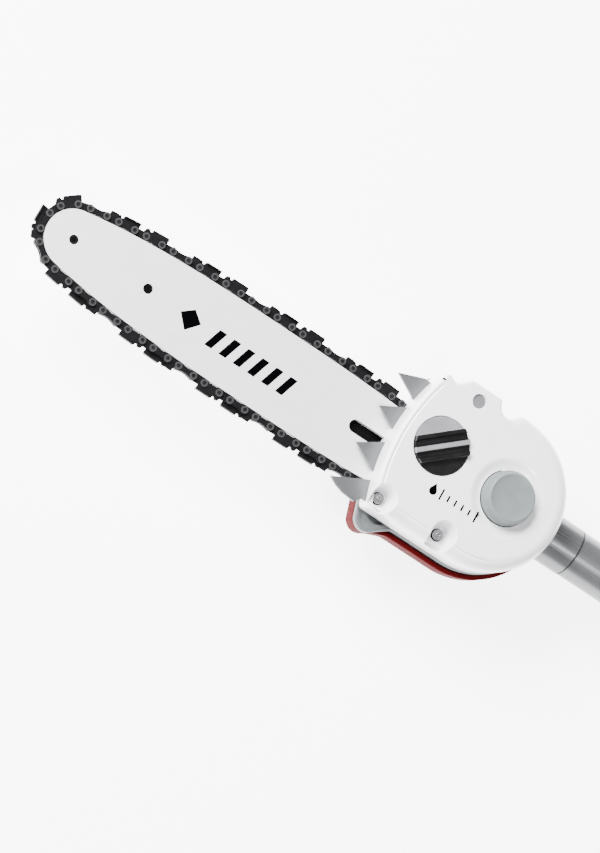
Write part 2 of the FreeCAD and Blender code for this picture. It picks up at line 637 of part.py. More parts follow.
def make_oil_system():
    ridge_deg = 40.0
    ridge = box((-CAP_R - 1, CAP_R + 1), (-8.5, 8.5), (21.5, 25.6))
    for y0 in (-5.6, 1.6):
        ridge = ridge.cut(box((-30, 30), (y0, y0 + 4.0), (23.4, 30)))
    ridge = ridge.common(cyl(CAP_R - 0.4, 20, 30))
    cap = fuse([cyl(CAP_R, 20.55, 22.2), ridge, cyl(NECK_R - 0.3, 16.3, 21)])
    cap = cap.cut(cyl(9.0, 15, 19.8))
    cap.rotate(V(0, 0, 0), V(0, 0, 1), ridge_deg)
    cap.translate(V(CAP_C[0], CAP_C[1], 0))
    seal = ring(NECK_R - 0.35, 10.6, 15.1, 16.25, CAP_C)

    skirt = ring(BUTTON_R, 14.6, 13.6, 24.0, BUTTON_C)
    top = Part.makeCone(BUTTON_R, 15.2, 6.0, V(BUTTON_C[0], BUTTON_C[1], 24.0))
    button = fuse([skirt, top.cut(cyl(13.0, 20, 27.4, BUTTON_C))])
    button = rounded_front(button, 1.2, BUTTON_TOP)
    plunger = cyl(3.5, 15.4, 27.35, BUTTON_C)
    pump = ring(7.0, 3.56, 9.0, 20.6, BUTTON_C).fuse(cyl(9.5, 8.6, 10.2, BUTTON_C)).removeSplitter()
    pump = pump.fuse(cyl(3.7, 8.6, 9.2, BUTTON_C)).removeSplitter()
    spring = coil_spring(10.6, 0.7, 10.3, 27.2, 6, BUTTON_C)

    plate = inner_prism(False, WALL + 0.4, 13.0, 14.4).cut(cyl(35.0, 0, 30, HEAD_C))
    tub = ring(36.0, 34.5, 7.2, 14.4, HEAD_C).fuse(cyl(35.0, 7.2, 8.5, HEAD_C))
    base = fuse([plate, tub])
    for tool in (pocket(SCREW_A, POCKET_R + 2.5, 0), pocket(SCREW_B, POCKET_R + 2.5, 0),
                 cyl(6.0, 0, 30, SCREW_C)):
        base = base.cut(tool)
    return {"oil_cap": cap, "cap_seal": seal, "oiler_button": button, "oiler_plunger": plunger,
            "oil_pump_body": solid_of(pump), "oiler_spring": spring, "oil_tank_base": base}


# ---- gears and motor

def involute(base_r, r):
    """Angle between an involute's start on the base circle and its point at radius r."""
    pressure = math.acos(base_r / r)
    return math.tan(pressure) - pressure


def involute_gear(teeth, z0, z1, bore, backlash, turn_deg):
    """A spur gear whose tooth is centred on the X axis before it is turned."""
    pitch_r = MODULE * teeth / 2
    base_r = pitch_r * math.cos(math.radians(20))
    tip_r = pitch_r + MODULE * 0.92
    root_r = pitch_r - MODULE * 1.25
    half = math.pi / (2 * teeth) - backlash / pitch_r + involute(base_r, pitch_r)
    outline = []
    for i in range(teeth):
        mid = 2 * math.pi * i / teeth
        low = max(base_r * 1.0005, root_r)
        radii = [low + (tip_r - low) * k / 5 for k in range(6)]
        rising = [(r, mid - half + involute(base_r, r)) for r in radii]
        falling = [(r, mid + half - involute(base_r, r)) for r in reversed(radii)]
        gap = math.pi / teeth
        root = [(root_r, mid - gap * 0.98), (root_r, mid - half - 0.002)]
        outline += root + rising + falling + [(root_r, mid + half + 0.002)]
    points = [(r * math.cos(a), r * math.sin(a)) for r, a in outline]
    gear = poly(points, z0, z1).cut(cyl(bore, z0 - 1, z1 + 1))
    gear.rotate(V(0, 0, 0), V(0, 0, 1), turn_deg)
    return gear


def make_drive():
    first = 180.0 / DRIVE_TEETH
    sprocket = make_sprocket(DRIVE_TEETH, 14.3, 9.6, SHAFT_R + 0.02, 2.2, 2.5, 2.6, first)
    shaft = cyl(SHAFT_R, -23.6, 5.6).cut(ring(6, 4.4, 3.4, 4.5))
    clip = ring(7.0, 4.5, 3.5, 4.4).cut(box((0, 9), (-2.5, 2.5), (3, 5)))
    gear = involute_gear(GEAR_TEETH, GEAR_Z[0], GEAR_Z[1], SHAFT_R + 0.02, 0.10, MOTOR_ANGLE)
    front = ring(BEARING_R, SHAFT_R + 0.03, -9.25, -5.0)
    back = ring(BEARING_R, SHAFT_R + 0.03, -24.45, -20.65)
    return {"drive_sprocket": sprocket, "output_shaft": shaft, "sprocket_clip": clip, "output_gear": gear,
            "shaft_bearings": Part.makeCompound([front, back] + motor_bearings())}


def make_motor():
    c = MOTOR_C
    turn = MOTOR_ANGLE + 180.0 + 180.0 / PINION_TEETH
    pinion = involute_gear(PINION_TEETH, GEAR_Z[0], GEAR_Z[1], MOTOR_SHAFT_R + 0.02, 0.10, turn)
    pinion.translate(V(c[0], c[1], 0))
    z0, z1 = MOTOR_Z
    can = ring(MOTOR_R, MOTOR_R - 1.6, z0, z1, c).fuse(ring(MOTOR_R, 6.1, z0, z0 + 1.4, c))
    plate = ring(MOTOR_R - 1.7, 6.1, z1 - 1.8, z1, c)
    stator = ring(MOTOR_R - 1.75, 14.6, -46.0, -29.0, c)
    core = ring(14.0, MOTOR_SHAFT_R + 0.02, -45.5, -29.5, c)
    shaft = cyl(MOTOR_SHAFT_R, -51.0, -11.6, c)
    return {"motor_can": Part.makeCompound([can.removeSplitter(), plate]), "motor_stator": stator,
            "motor_rotor": core, "motor_shaft": shaft, "motor_pinion": pinion}


def motor_bearings():
    bore = MOTOR_SHAFT_R + 0.03
    return [ring(6.0, bore, -50.3, -47.6, MOTOR_C), ring(6.0, bore, -26.4, -23.2, MOTOR_C)]


# ---- pole

def make_pole():
    spigot_r = SOCKET_BORE - 0.1
    socket = tube_x(SOCKET_R, SOCKET_BORE, *SOCKET_X)
    spigot = tube_x(spigot_r, spigot_r - 3.0, *SPIGOT_X)
    seam = tube_x(SOCKET_R - 0.1, SOCKET_BORE, SOCKET_X[1] + 0.1, UPPER_X[0] - 0.1)
    upper = tube_x(UPPER_R, SOCKET_BORE, *UPPER_X)
    end_bush = tube_x(LOWER_BORE - 0.06, UPPER_R + 0.02, UPPER_X[1] - 40.0, UPPER_X[1])
    lower = tube_x(LOWER_R, LOWER_BORE, *LOWER_X)
    reach = SOCKET_R + NECK_WALL
    clamp_screws = [rod_y(1.6, POLE_Y + a, POLE_Y + b, SOCKET_SCREW_X, POLE_Z)
                    for a, b in ((-reach, -10.6), (10.6, reach))]
    tool = rod_y(1.7, POLE_Y - 30, POLE_Y + 30, SOCKET_SCREW_X, POLE_Z)
    socket, spigot = socket.cut(tool), spigot.cut(tool)
    return {"pole_socket": socket, "pole_spigot": spigot, "seam_ring": seam, "upper_tube": upper,
            "tube_end_bush": end_bush, "lower_tube": lower,
            "housing_screws": Part.makeCompound(clamp_screws + make_housing_screws())}


def make_lock_collar():
    x0, x1 = COLLAR_X
    collar = rod_x(COLLAR_R, x0, x1)
    ears = box((x0 + 9, x1 - 9), (POLE_Y + 15, POLE_Y + 36), (POLE_Z - 6.5, POLE_Z + 6.5))
    collar = fuse([collar, ears])
    middle = (x0 + x1) / 2
    y, z = LEVER_PIVOT
    bolt_hole = Part.makeCylinder(2.7, 30, V(middle, y, POLE_Z - 15))
    for tool in (rod_x(LOWER_R + 0.03, LOWER_X[0] - 0.2, x1 + 1), rod_x(UPPER_R + 1.3, x0 - 1, x1),
                 box((x0 - 1, x1 + 1), (POLE_Y + 10, POLE_Y + 40), (POLE_Z - 1.5, POLE_Z + 1.5)), bolt_hole):
        collar = collar.cut(tool)
    bush = tube_x(UPPER_R + 1.25, UPPER_R + 0.04, x0 + 1.0, LOWER_X[0] - 0.4)
    pin = rod_x(2.0, middle - 15, middle + 15, y, z)
    bolt = fuse([Part.makeCylinder(2.5, 22, V(middle, y, POLE_Z - 10)),
                 rod_x(4.2, middle - 3.8, middle + 3.8, y, z)])
    bolt = bolt.cut(rod_x(2.05, middle - 20, middle + 20, y, z))
    nut = Part.makeCylinder(5.0, 4.0, V(middle, y, POLE_Z - 10.6)).cut(bolt)
    eyes = [rod_x(5.2, a, b, y, z) for a, b in ((middle - 14, middle - 4.2), (middle + 4.2, middle + 14))]
    band = tube_x(COLLAR_R + 5.0, COLLAR_R + 1.0, middle - 14, middle + 14)
    band = band.cut(box((x0, x1), (POLE_Y + 21, POLE_Y + 60), (-80, 80)))
    band = band.cut(box((x0, x1), (POLE_Y - 60, POLE_Y - 8), (-80, 80)))
    band = band.cut(box((x0, x1), (POLE_Y - 60, POLE_Y + 60), (-80, POLE_Z)))
    web = box((middle - 14, middle + 14), (POLE_Y + 20, y), (z + 1.0, z + 4.6))
    lever = fuse([band, web] + eyes)
    lever = lever.cut(rod_x(2.04, middle - 20, middle + 20, y, z))
    lever = lever.cut(rod_x(5.0, middle - 4.2, middle + 4.2, y, z))
    return {"lock_collar": solid_of(collar), "collar_bush": bush, "lever_pin": pin,
            "clamp_bolt": Part.makeCompound([bolt, nut]), "lock_lever": solid_of(lever)}


def make_pole_fittings():
    grip = tube_x(GRIP_R, LOWER_R + 0.05, GRIP_X[0], GRIP_X[1])
    grip = rounded_grip(grip)
    x0, x1 = STRAP_X
    clamp = tube_x(LOWER_R + 3.0, LOWER_R + 0.05, x0, x1)
    middle = (x0 + x1) / 2
    lug = box((middle - 4, middle + 4), (POLE_Y + 18, POLE_Y + 27), (POLE_Z - 4, POLE_Z + 4))
    clamp = fuse([clamp, lug]).cut(rod_x(LOWER_R + 0.05, x0 - 1, x1 + 1))
    eye_y = POLE_Y + 27 + 7.5
    eyelet = Part.makeCylinder(7.7, 5.0, V(middle, eye_y, POLE_Z - 2.5))
    clamp = fuse([clamp, eyelet]).cut(Part.makeCylinder(5.0, 20.0, V(middle, eye_y, POLE_Z - 10)))
    return {"foam_grip": grip, "strap_clamp": solid_of(clamp)}


def rounded_grip(tube):
    ends = [e for e in tube.Edges if e.BoundBox.XLength < 0.01 and e.BoundBox.YLength > 2 * LOWER_R + 3]
    return tube.makeFillet(3.0, ends)


# ---- handle

def section(x, y, z, half_y, half_z, r):
    """A rounded rectangle across the handle, as one wire."""
    c = [(1, 1), (-1, 1), (-1, -1), (1, -1)]
    edges, ends = [], []
    for k, (sy, sz) in enumerate(c):
        cy, cz = y + sy * (half_y - r), z + sz * (half_z - r)
        a0 = math.radians(90.0 * k)
        pts = [V(x, cy + r * math.cos(a0 + t * math.pi / 4), cz + r * math.sin(a0 + t * math.pi / 4))
               for t in (0, 1, 2)]
        ends.append((pts, Part.Arc(*pts).toShape()))
    for k in range(4):
        pts, edge = ends[k]
        edges += [edge, Part.LineSegment(pts[2], ends[(k + 1) % 4][0][0]).toShape()]
    return Part.Wire(edges)


HANDLE_STATIONS = [
    (985.0, 14.5, 23.0, 23.0, 19.0), (1012.0, 14.5, 24.5, 24.5, 19.0), (1045.0, 15.0, 27.0, 23.0, 17.0),
    (1085.0, 15.5, 25.0, 20.5, 16.0), (1130.0, 16.0, 21.5, 19.0, 15.0), (1180.0, 16.0, 21.5, 19.0, 15.0),
    (1215.0, 15.0, 30.0, 24.0, 16.0), (1240.0, 14.0, 45.4, 32.0, 12.0), (1262.0, 14.0, 47.0, 33.2, 9.0),
]


def handle_loft(inset, x_in):
    first, last = HANDLE_STATIONS[0][0], HANDLE_STATIONS[-1][0]
    wires = []
    for a, b in zip(HANDLE_STATIONS, HANDLE_STATIONS[1:]):
        for part in range(3):
            x, y, hy, hz, r = [u + (w - u) * part / 3 for u, w in zip(a, b)]
            wires.append(section(max(x, first + x_in), y, POLE_Z, hy - inset, hz - inset, r - inset))
    x, y, hy, hz, r = HANDLE_STATIONS[-1]
    wires.append(section(last - x_in, y, POLE_Z, hy - inset, hz - inset, r - inset))
    return Part.makeLoft(wires, True, False)


def make_handle():
    outer = handle_loft(0.0, 0.0)
    cavity = handle_loft(2.6, 3.0)
    bosses = [cyl(3.8, POLE_Z - 40, POLE_Z + 40, c) for c in HANDLE_SCREW_PLACES]
    bosses += [rod_x(LOWER_R + 2.6, 980, LOWER_X[1] + 1), cyl(4.2, POLE_Z - 40, POLE_Z - 7.4, TRIGGER_PIN),
               cyl(4.2, POLE_Z + 7.4, POLE_Z + 40, TRIGGER_PIN)]
    for shape in bosses:
        cavity = cavity.cut(shape)
    body = outer.cut(cavity)
    cuts = [rod_x(LOWER_R + 0.05, 970, LOWER_X[1] + 0.6), rod_x(LOWER_BORE - 1, 980, 1060),
            box((1040.0, 1094.0), (-40, 2), (POLE_Z - 7.3, POLE_Z + 7.3)),
            cyl(2.05, POLE_Z - 16.0, POLE_Z + 16.0, TRIGGER_PIN),
            cyl(8.3, POLE_Z + 4, 40, LOCK_OFF_C),
            box((1250, 1270), (-14.1, 40.1), (POLE_Z - 13.1, POLE_Z + 13.1))]
    for c in HANDLE_SCREW_PLACES:
        cuts += [cyl(1.3, POLE_Z - 12, POLE_Z + 30, c), cyl(3.3, POLE_Z + 13.0, POLE_Z + 40, c)]
    for tool in cuts:
        body = body.cut(tool)
    front = body.common(box((900, 1400), (-100, 140), (POLE_Z + 0.05, 80)))
    back = body.common(box((900, 1400), (-100, 140), (-120, POLE_Z - 0.05)))
    screws = [fuse([cyl(2.9, POLE_Z + 13.1, POLE_Z + 15.4, c), cyl(1.25, POLE_Z - 11.5, POLE_Z + 14, c)])
              for c in HANDLE_SCREW_PLACES]
    return {"handle_shell_front": front, "handle_shell_back": back,
            "handle_screws": Part.makeCompound(screws)}


def make_controls():
    z0, z1 = POLE_Z - 6.9, POLE_Z + 6.9
    px, py = TRIGGER_PIN
    edges = [line((px - 5, py + 4), (px + 34, py - 6)), line((px + 34, py - 6), (px + 36, py - 17)),
             arc((px + 36, py - 17), (px + 22, py - 21), (px + 9, py - 29)),
             arc((px + 9, py - 29), (px + 2, py - 31), (px - 3, py - 24)),
             line((px - 3, py - 24), (px - 5, py + 4))]
    trigger = prism(edges, z0, z1).cut(cyl(2.06, -80, 80, TRIGGER_PIN))
    pin = cyl(2.0, POLE_Z - 15.5, POLE_Z + 15.5, TRIGGER_PIN)
    spring = coil_spring(2.6, 0.45, 0.0, 9.0, 6, (0.0, 0.0))
    spring.rotate(V(0, 0, 0), V(1, 0, 0), -90)
    spring.translate(V(px + 22, py - 1.2, POLE_Z))
    switch = box((px + 16, px + 34), (py + 8.3, py + 13.5), (POLE_Z - 6, POLE_Z + 6))
    top = HANDLE_TOP_Z
    button = fuse([cyl(8.0, top - 7.0, top + 3.0, LOCK_OFF_C), cyl(10.5, top - 9.0, top - 7.0, LOCK_OFF_C)])
    button = rounded_front(button, 1.0, top + 3.0)
    lock_spring = coil_spring(5.0, 0.5, POLE_Z + 0.6, top - 9.1, 3, LOCK_OFF_C)
    board = box((1150, 1205), (5.0, 26.5), (POLE_Z - 1.0, POLE_Z + 0.8))
    terminals = [box((1259.0, 1272.0), (y, y + 1.2), (POLE_Z - 8, POLE_Z + 8)) for y in (4.0, 14.0, 24.0)]
    flange = box((1254.0, 1258.9), (-18, 44), (POLE_Z - 17, POLE_Z + 17))
    neck = box((1256.0, 1265.9), (-14, 40), (POLE_Z - 13, POLE_Z + 13))
    lips = box((1265.4, 1268.6), (-14, 40), (POLE_Z - 17, POLE_Z + 17))
    block = fuse([flange, neck, lips])
    for t in terminals:
        b = t.BoundBox
        block = block.cut(box((b.XMin - 9, b.XMax + 0.1), (b.YMin - 0.05, b.YMax + 0.05),
                              (b.ZMin - 0.05, b.ZMax + 0.05)))
    return {"trigger": trigger, "trigger_pin": pin,
            "handle_springs": Part.makeCompound([spring, lock_spring]),
            "lock_off_button": button, "switch_and_board": Part.makeCompound([switch, board]),
            "battery_terminals": Part.makeCompound(terminals), "battery_rail": block}


# ---- battery

def make_battery():
    x0, x1 = BATTERY_X
    outer = box((x0, x1), BATTERY_Y, BATTERY_Z)
    upright = [e for e in outer.Edges if e.BoundBox.YLength < 0.01]
    outer = outer.makeFillet(5.0, [e for e in upright
                                   if e.BoundBox.XMax > x1 - 0.01 or e.BoundBox.XLength > 1])
    slot = fuse([box((x0 - 1, x0 + 4.0), (BATTERY_Y[0] - 1, 41.0), (POLE_Z - 13.4, POLE_Z + 13.4)),
                 box((x0 + 2.6, x0 + 6.8), (BATTERY_Y[0] - 1, 41.0), (POLE_Z - 17.4, POLE_Z + 17.4)),
                 box((x0 + 2.6, x0 + 12.0), (BATTERY_Y[0] - 1, 41.0), (POLE_Z - 9.0, POLE_Z + 9.0))])
    latch_seat = box((x0 + 24.0, x0 + 46.0), (BATTERY_Y[1] - 9.0, BATTERY_Y[1] + 5),
                     (POLE_Z - 15, POLE_Z + 15))
    cells_at = [(x0 + 27.0, y) for y in (-14.0, 6.0, 26.0)] + [(x0 + 47.0, y) for y in (-4.0, 16.0)]
    cells = [Part.makeCylinder(CELL_R, 61.0, V(x, y, BATTERY_Z[0] + 3.5)) for x, y in cells_at]
    inside = box((x0 + 15.0, x1 - 2.6), (BATTERY_Y[0] + 2.6, BATTERY_Y[1] - 24.0),
                 (BATTERY_Z[0] + 2.6, BATTERY_Z[1] - 2.6))
    case = outer.cut(slot).cut(latch_seat).cut(inside)
    split = POLE_Z
    lower = case.common(box((x0 - 5, x1 + 5), (-60, 90), (-60, split - 0.05)))
    upper = case.common(box((x0 - 5, x1 + 5), (-60, 90), (split + 0.05, 20)))
    latch = box((x0 + 24.4, x0 + 45.6), (BATTERY_Y[1] - 5.5, BATTERY_Y[1] + 1.6),
                (POLE_Z - 14.6, POLE_Z + 14.6))
    latch = latch.makeFillet(1.2, [e for e in latch.Edges if e.BoundBox.YMin > BATTERY_Y[1] + 1])
    return {"battery_case_back": lower, "battery_case_front": upper,
            "battery_cells": Part.makeCompound(cells), "battery_latch": latch}


# ---- all pieces

def make_all():
    nodes = {"guide_bar": make_guide_bar(), "cover_shell": make_cover(), "mid_frame": make_mid_frame(),
             "rear_housing": make_rear_housing(), "cover_screws": make_head_screws(),
             "spike_plate": make_spike_plate()}
    for group in (make_chain(), make_nose(), make_bar_clamp(), make_oil_system(), make_drive(), make_motor(),
                  make_pole(), make_lock_collar(), make_pole_fittings(), make_handle(), make_controls(),
                  make_battery()):
        nodes.update(group)
    nodes["hinge_pins"] = Part.makeCompound([nodes.pop("lever_pin"), nodes.pop("trigger_pin")])
    return nodes


def rest_origin(nodes):
    """The middle of the whole object's footprint, at its lowest level."""
    whole = FreeCAD.BoundBox()
    for shape in nodes.values():
        whole.add(shape.optimalBoundingBox(False, False))
    return V(whole.Center.x, whole.Center.y, whole.ZMin)


def main():
    nodes = make_all()
    origin = rest_origin(nodes)
    os.makedirs("parts", exist_ok=True)
    for name, shape in nodes.items():
        shape.translate(origin * -1)
        shape.exportStep("parts/" + name + ".step")
    print("nodes", len(nodes), "origin", origin, "nose x", NOSE_X)


main()
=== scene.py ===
"""A telescoping pole saw lying on its side: its looks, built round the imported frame."""

import json
import math

import bpy
import numpy as np
from mathutils import Matrix, Vector


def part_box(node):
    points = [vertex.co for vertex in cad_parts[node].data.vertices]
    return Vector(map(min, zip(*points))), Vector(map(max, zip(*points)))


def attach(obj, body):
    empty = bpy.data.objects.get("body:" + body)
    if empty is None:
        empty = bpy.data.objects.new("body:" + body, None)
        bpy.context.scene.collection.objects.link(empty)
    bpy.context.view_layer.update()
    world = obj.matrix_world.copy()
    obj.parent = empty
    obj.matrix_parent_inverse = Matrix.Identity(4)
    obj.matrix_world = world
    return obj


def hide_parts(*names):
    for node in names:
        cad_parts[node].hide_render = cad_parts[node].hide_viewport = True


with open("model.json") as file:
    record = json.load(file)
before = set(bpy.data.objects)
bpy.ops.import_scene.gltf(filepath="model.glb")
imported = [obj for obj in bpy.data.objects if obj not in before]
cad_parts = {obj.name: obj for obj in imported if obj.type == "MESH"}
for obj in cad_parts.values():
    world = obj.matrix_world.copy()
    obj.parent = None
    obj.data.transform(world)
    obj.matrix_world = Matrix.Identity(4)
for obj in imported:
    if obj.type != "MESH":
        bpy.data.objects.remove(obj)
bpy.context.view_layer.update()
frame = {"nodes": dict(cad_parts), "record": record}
NODES = frame["nodes"]
MM = 0.001


# ---------------------------------------------------------------- places, in millimetres about the drive axis

def middle(node):
    lo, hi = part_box(node)
    return (Vector(lo) + Vector(hi)) / 2


SHAFT = middle("output_shaft")
ORIGIN = np.array([SHAFT.x, SHAFT.y, middle("guide_bar").z])


def local(node):
    """A node's middle, in millimetres from the drive sprocket's axis and the bar's mid-plane."""
    return (np.array(middle(node)) - ORIGIN) / MM


def extent(node, axis):
    """A node's lowest and highest place along an axis, in the same millimetres."""
    lo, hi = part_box(node)
    return (lo[axis] - ORIGIN[axis]) / MM, (hi[axis] - ORIGIN[axis]) / MM


COVER_BACK, COVER_FRONT = extent("cover_shell", 2)
FRAME_BACK = extent("mid_frame", 2)[0]
HOUSING_FRONT = extent("rear_housing", 2)[1]
BULGE_BACK = extent("rear_housing", 2)[0]
MOTOR = local("motor_shaft")
CAP = local("oil_cap")
BUTTON = local("oiler_button")
NOSE = local("nose_rivet")
POLE_Y, POLE_Z = local("upper_tube")[1:]
HEAD_CENTRE = np.array([-8.0, 10.0])
HEAD_R = 50.0
SCREW_A = np.array([-67.3, -32.2])
SCREW_B = np.array([-23.0, -30.8])
SCREW_C = np.array([-44.6, 50.9])
POCKET_FLOOR = 9.0
FRAME_SWELL = 0.6
HOUSING_SWELL = 4.0


# ---------------------------------------------------------------- materials

def linear(value):
    value = value / 255.0
    return value / 12.92 if value <= 0.04045 else ((value + 0.055) / 1.055) ** 2.4


def srgb(r, g, b):
    return (linear(r), linear(g), linear(b), 1.0)


class Surface:
    """A principled material with its procedural nodes added one by one."""

    def __init__(self, name, colour, roughness, metallic=0.0, coat=0.0, specular=0.5):
        self.material = bpy.data.materials.new(name)
        self.material.use_nodes = True
        self.tree = self.material.node_tree
        self.shader = self.tree.nodes["Principled BSDF"]
        self.set("Base Color", colour)
        self.set("Roughness", roughness)
        self.set("Metallic", metallic)
        self.set("Coat Weight", coat)
        self.set("Specular IOR Level", specular)
        self.colour = colour
        self.roughness = roughness
        self.place = self.tree.nodes.new("ShaderNodeTexCoord").outputs["Object"]

    def set(self, socket, value):
        self.shader.inputs[socket].default_value = value

    def link(self, a, b):
        self.tree.links.new(a, b)

    def stretched(self, scale):
        node = self.tree.nodes.new("ShaderNodeMapping")
        node.inputs["Scale"].default_value = scale
        self.link(self.place, node.inputs["Vector"])
        return node.outputs["Vector"]

    def noise(self, scale, detail=3.0, stretch=None):
        node = self.tree.nodes.new("ShaderNodeTexNoise")
        node.inputs["Scale"].default_value = scale
        node.inputs["Detail"].default_value = detail
        self.link(self.stretched(stretch) if stretch else self.place, node.inputs["Vector"])
        return node.outputs["Fac"]

    def spread(self, fac, low, high):
        node = self.tree.nodes.new("ShaderNodeMapRange")
        node.inputs["From Min"].default_value = 0.3
        node.inputs["From Max"].default_value = 0.7
        node.inputs["To Min"].default_value = low
        node.inputs["To Max"].default_value = high
        self.link(fac, node.inputs["Value"])
        return node.outputs["Result"]

    def vary_colour(self, fac, darker, lighter):
        node = self.tree.nodes.new("ShaderNodeMix")
        node.data_type = "RGBA"
        a = [min(1.0, c * darker) for c in self.colour[:3]] + [1.0]
        b = [min(1.0, c * lighter) for c in self.colour[:3]] + [1.0]
        node.inputs[6].default_value = a
        node.inputs[7].default_value = b
        self.link(self.spread(fac, 0.0, 1.0), node.inputs[0])
        self.link(node.outputs[2], self.shader.inputs["Base Color"])
        return node.outputs[2]

    def vary_roughness(self, fac, amount):
        r = self.roughness
        self.link(self.spread(fac, max(0.03, r - amount), r + amount), self.shader.inputs["Roughness"])

    def bump(self, fac, distance, strength=1.0):
        node = self.tree.nodes.new("ShaderNodeBump")
        node.inputs["Strength"].default_value = strength
        node.inputs["Distance"].default_value = distance
        self.link(fac, node.inputs["Height"])
        self.link(node.outputs["Normal"], self.shader.inputs["Normal"])

    def edge_wear_and_highlight(self, base, tint, amount):
        """Lightens sharp edges, from the mesh's own pointiness, partly as wear and partly as a painted
        highlight along rims and edges.
        """
        geometry = self.tree.nodes.new("ShaderNodeNewGeometry")
        ramp = self.tree.nodes.new("ShaderNodeMapRange")
        ramp.inputs["From Min"].default_value = 0.52
        ramp.inputs["From Max"].default_value = 0.62
        ramp.inputs["To Max"].default_value = amount
        self.link(geometry.outputs["Pointiness"], ramp.inputs["Value"])
        mix = self.tree.nodes.new("ShaderNodeMix")
        mix.data_type = "RGBA"
        self.link(ramp.outputs["Result"], mix.inputs[0])
        self.link(base, mix.inputs[6])
        mix.inputs[7].default_value = tint
        self.link(mix.outputs[2], self.shader.inputs["Base Color"])


def gloss_plastic(name, colour, roughness, grain=0.00002, coat=0.25, specular=0.5):
    s = Surface(name, colour, roughness, coat=coat, specular=specular)
    s.set("Coat Roughness", 0.12)
    s.vary_colour(s.noise(35.0), 0.985, 1.01)
    s.vary_roughness(s.noise(60.0, 4.0), 0.04)
    s.bump(s.noise(900.0, 2.0), grain, 0.5)
    return s.material


def textured_plastic(name, colour, roughness, grain=0.00012, scale=1400.0, specular=0.5):
    s = Surface(name, colour, roughness, specular=specular)
    s.vary_colour(s.noise(90.0), 0.9, 1.1)
    s.vary_roughness(s.noise(120.0), 0.07)
    s.bump(s.noise(scale, 3.0), grain, 0.8)
    return s.material


def brushed_metal(name, colour, roughness, stretch, contrast=0.08, grain=0.00003, metallic=1.0):
    """Metal with fine brush lines along the axis whose stretch is smallest."""
    s = Surface(name, colour, roughness, metallic=metallic)
    lines = s.noise(1.0, 4.0, stretch)
    s.vary_colour(lines, 1 - contrast, 1 + contrast)
    s.vary_roughness(lines, 0.06)
    s.bump(lines, grain, 0.6)
    return s.material


def cast_metal(name, colour, roughness):
    s = Surface(name, colour, roughness, metallic=0.2, specular=0.3)
    tone = s.vary_colour(s.noise(45.0, 4.0), 0.93, 1.06)
    # lighter edges: partly wear, partly a painted highlight along the plate's rims
    s.edge_wear_and_highlight(tone, [min(1.0, c * 2.6) for c in colour[:3]] + [1.0], 0.6)
    s.vary_roughness(s.noise(150.0), 0.06)
    s.bump(s.noise(1100.0, 3.0), 0.00009, 0.7)
    return s.material


def dark_steel(name, colour, roughness, wear_and_highlight):
    s = Surface(name, colour, roughness, metallic=0.0, specular=0.12)
    tone = s.vary_colour(s.noise(500.0, 4.0), 0.6, 1.7)
    # lighter edges: a painted highlight on rivet rings and link edges, with some wear
    s.edge_wear_and_highlight(tone, wear_and_highlight, 0.12)
    s.vary_roughness(s.noise(700.0), 0.12)
    s.bump(s.noise(1500.0, 3.0), 0.00006, 0.7)
    return s.material


def foam(name, colour):
    s = Surface(name, colour, 0.85, specular=0.3)
    s.vary_colour(s.noise(400.0, 4.0), 0.75, 1.35)
    s.bump(s.noise(1600.0, 4.0), 0.0004, 0.9)
    return s.material


def make_materials():
    made = {}
    made["white_plastic"] = gloss_plastic("white_plastic", srgb(243, 243, 246), 0.22)
    made["grey_housing"] = cast_metal("grey_housing", srgb(92, 95, 96), 0.42)
    made["red_housing"] = gloss_plastic("red_housing", srgb(78, 8, 10), 0.6, 0.00004, 0.0, 0.04)
    made["bar_steel"] = brushed_metal("bar_steel", srgb(240, 240, 242), 0.42, (90.0, 1500.0, 1500.0),
                                      0.01, 0.00001, 0.35)
    made["plate_steel"] = brushed_metal("plate_steel", srgb(108, 109, 111), 0.36, (1400.0, 120.0, 1400.0),
                                        0.03, 0.00001, 0.7)
    made["chain_steel"] = dark_steel("chain_steel", srgb(4, 4, 5), 0.46, srgb(36, 36, 38))
    # the rivets' lighter edge tint paints the highlight on their head rings
    made["rivet_steel"] = dark_steel("rivet_steel", srgb(20, 20, 21), 0.30, srgb(135, 135, 137))
    made["zinc_steel"] = brushed_metal("zinc_steel", srgb(205, 205, 206), 0.22, (900.0, 900.0, 900.0))
    made["pole_aluminium"] = brushed_metal("pole_aluminium", srgb(104, 105, 107), 0.30,
                                           (25.0, 2200.0, 2200.0), 0.02, 0.00001, 0.6)
    made["black_plastic"] = textured_plastic("black_plastic", srgb(16, 16, 17), 0.42)
    made["cap_plastic"] = textured_plastic("cap_plastic", srgb(6, 6, 7), 0.40, 0.00005, specular=0.3)
    # a lighter grey copy of the cap's black, used as a painted highlight on the cap's face
    made["cap_painted_highlight"] = textured_plastic("cap_painted_highlight", srgb(120, 120, 123), 0.30, 0.00005)
    made["button_grey"] = textured_plastic("button_grey", srgb(104, 110, 110), 0.36, 0.00003, specular=0.3)
    made["plug_grey"] = textured_plastic("plug_grey", srgb(98, 98, 102), 0.5, 0.0002, 900.0)
    made["black_rubber"] = textured_plastic("black_rubber", srgb(10, 10, 11), 0.7)
    made["grip_foam"] = foam("grip_foam", srgb(18, 18, 20))
    made["copper_winding"] = brushed_metal("copper_winding", srgb(176, 102, 56), 0.4, (600.0, 600.0, 2500.0))
    made["contact_brass"] = brushed_metal("contact_brass", srgb(206, 176, 96), 0.3, (900.0, 900.0, 900.0))
    made["ink"] = textured_plastic("ink", srgb(3, 3, 4), 0.8, 0.00001, specular=0.0)
    made["shadow_black"] = textured_plastic("shadow_black", srgb(3, 3, 3), 0.8, 0.00002, specular=0.05)
    return made


MATERIALS = make_materials()


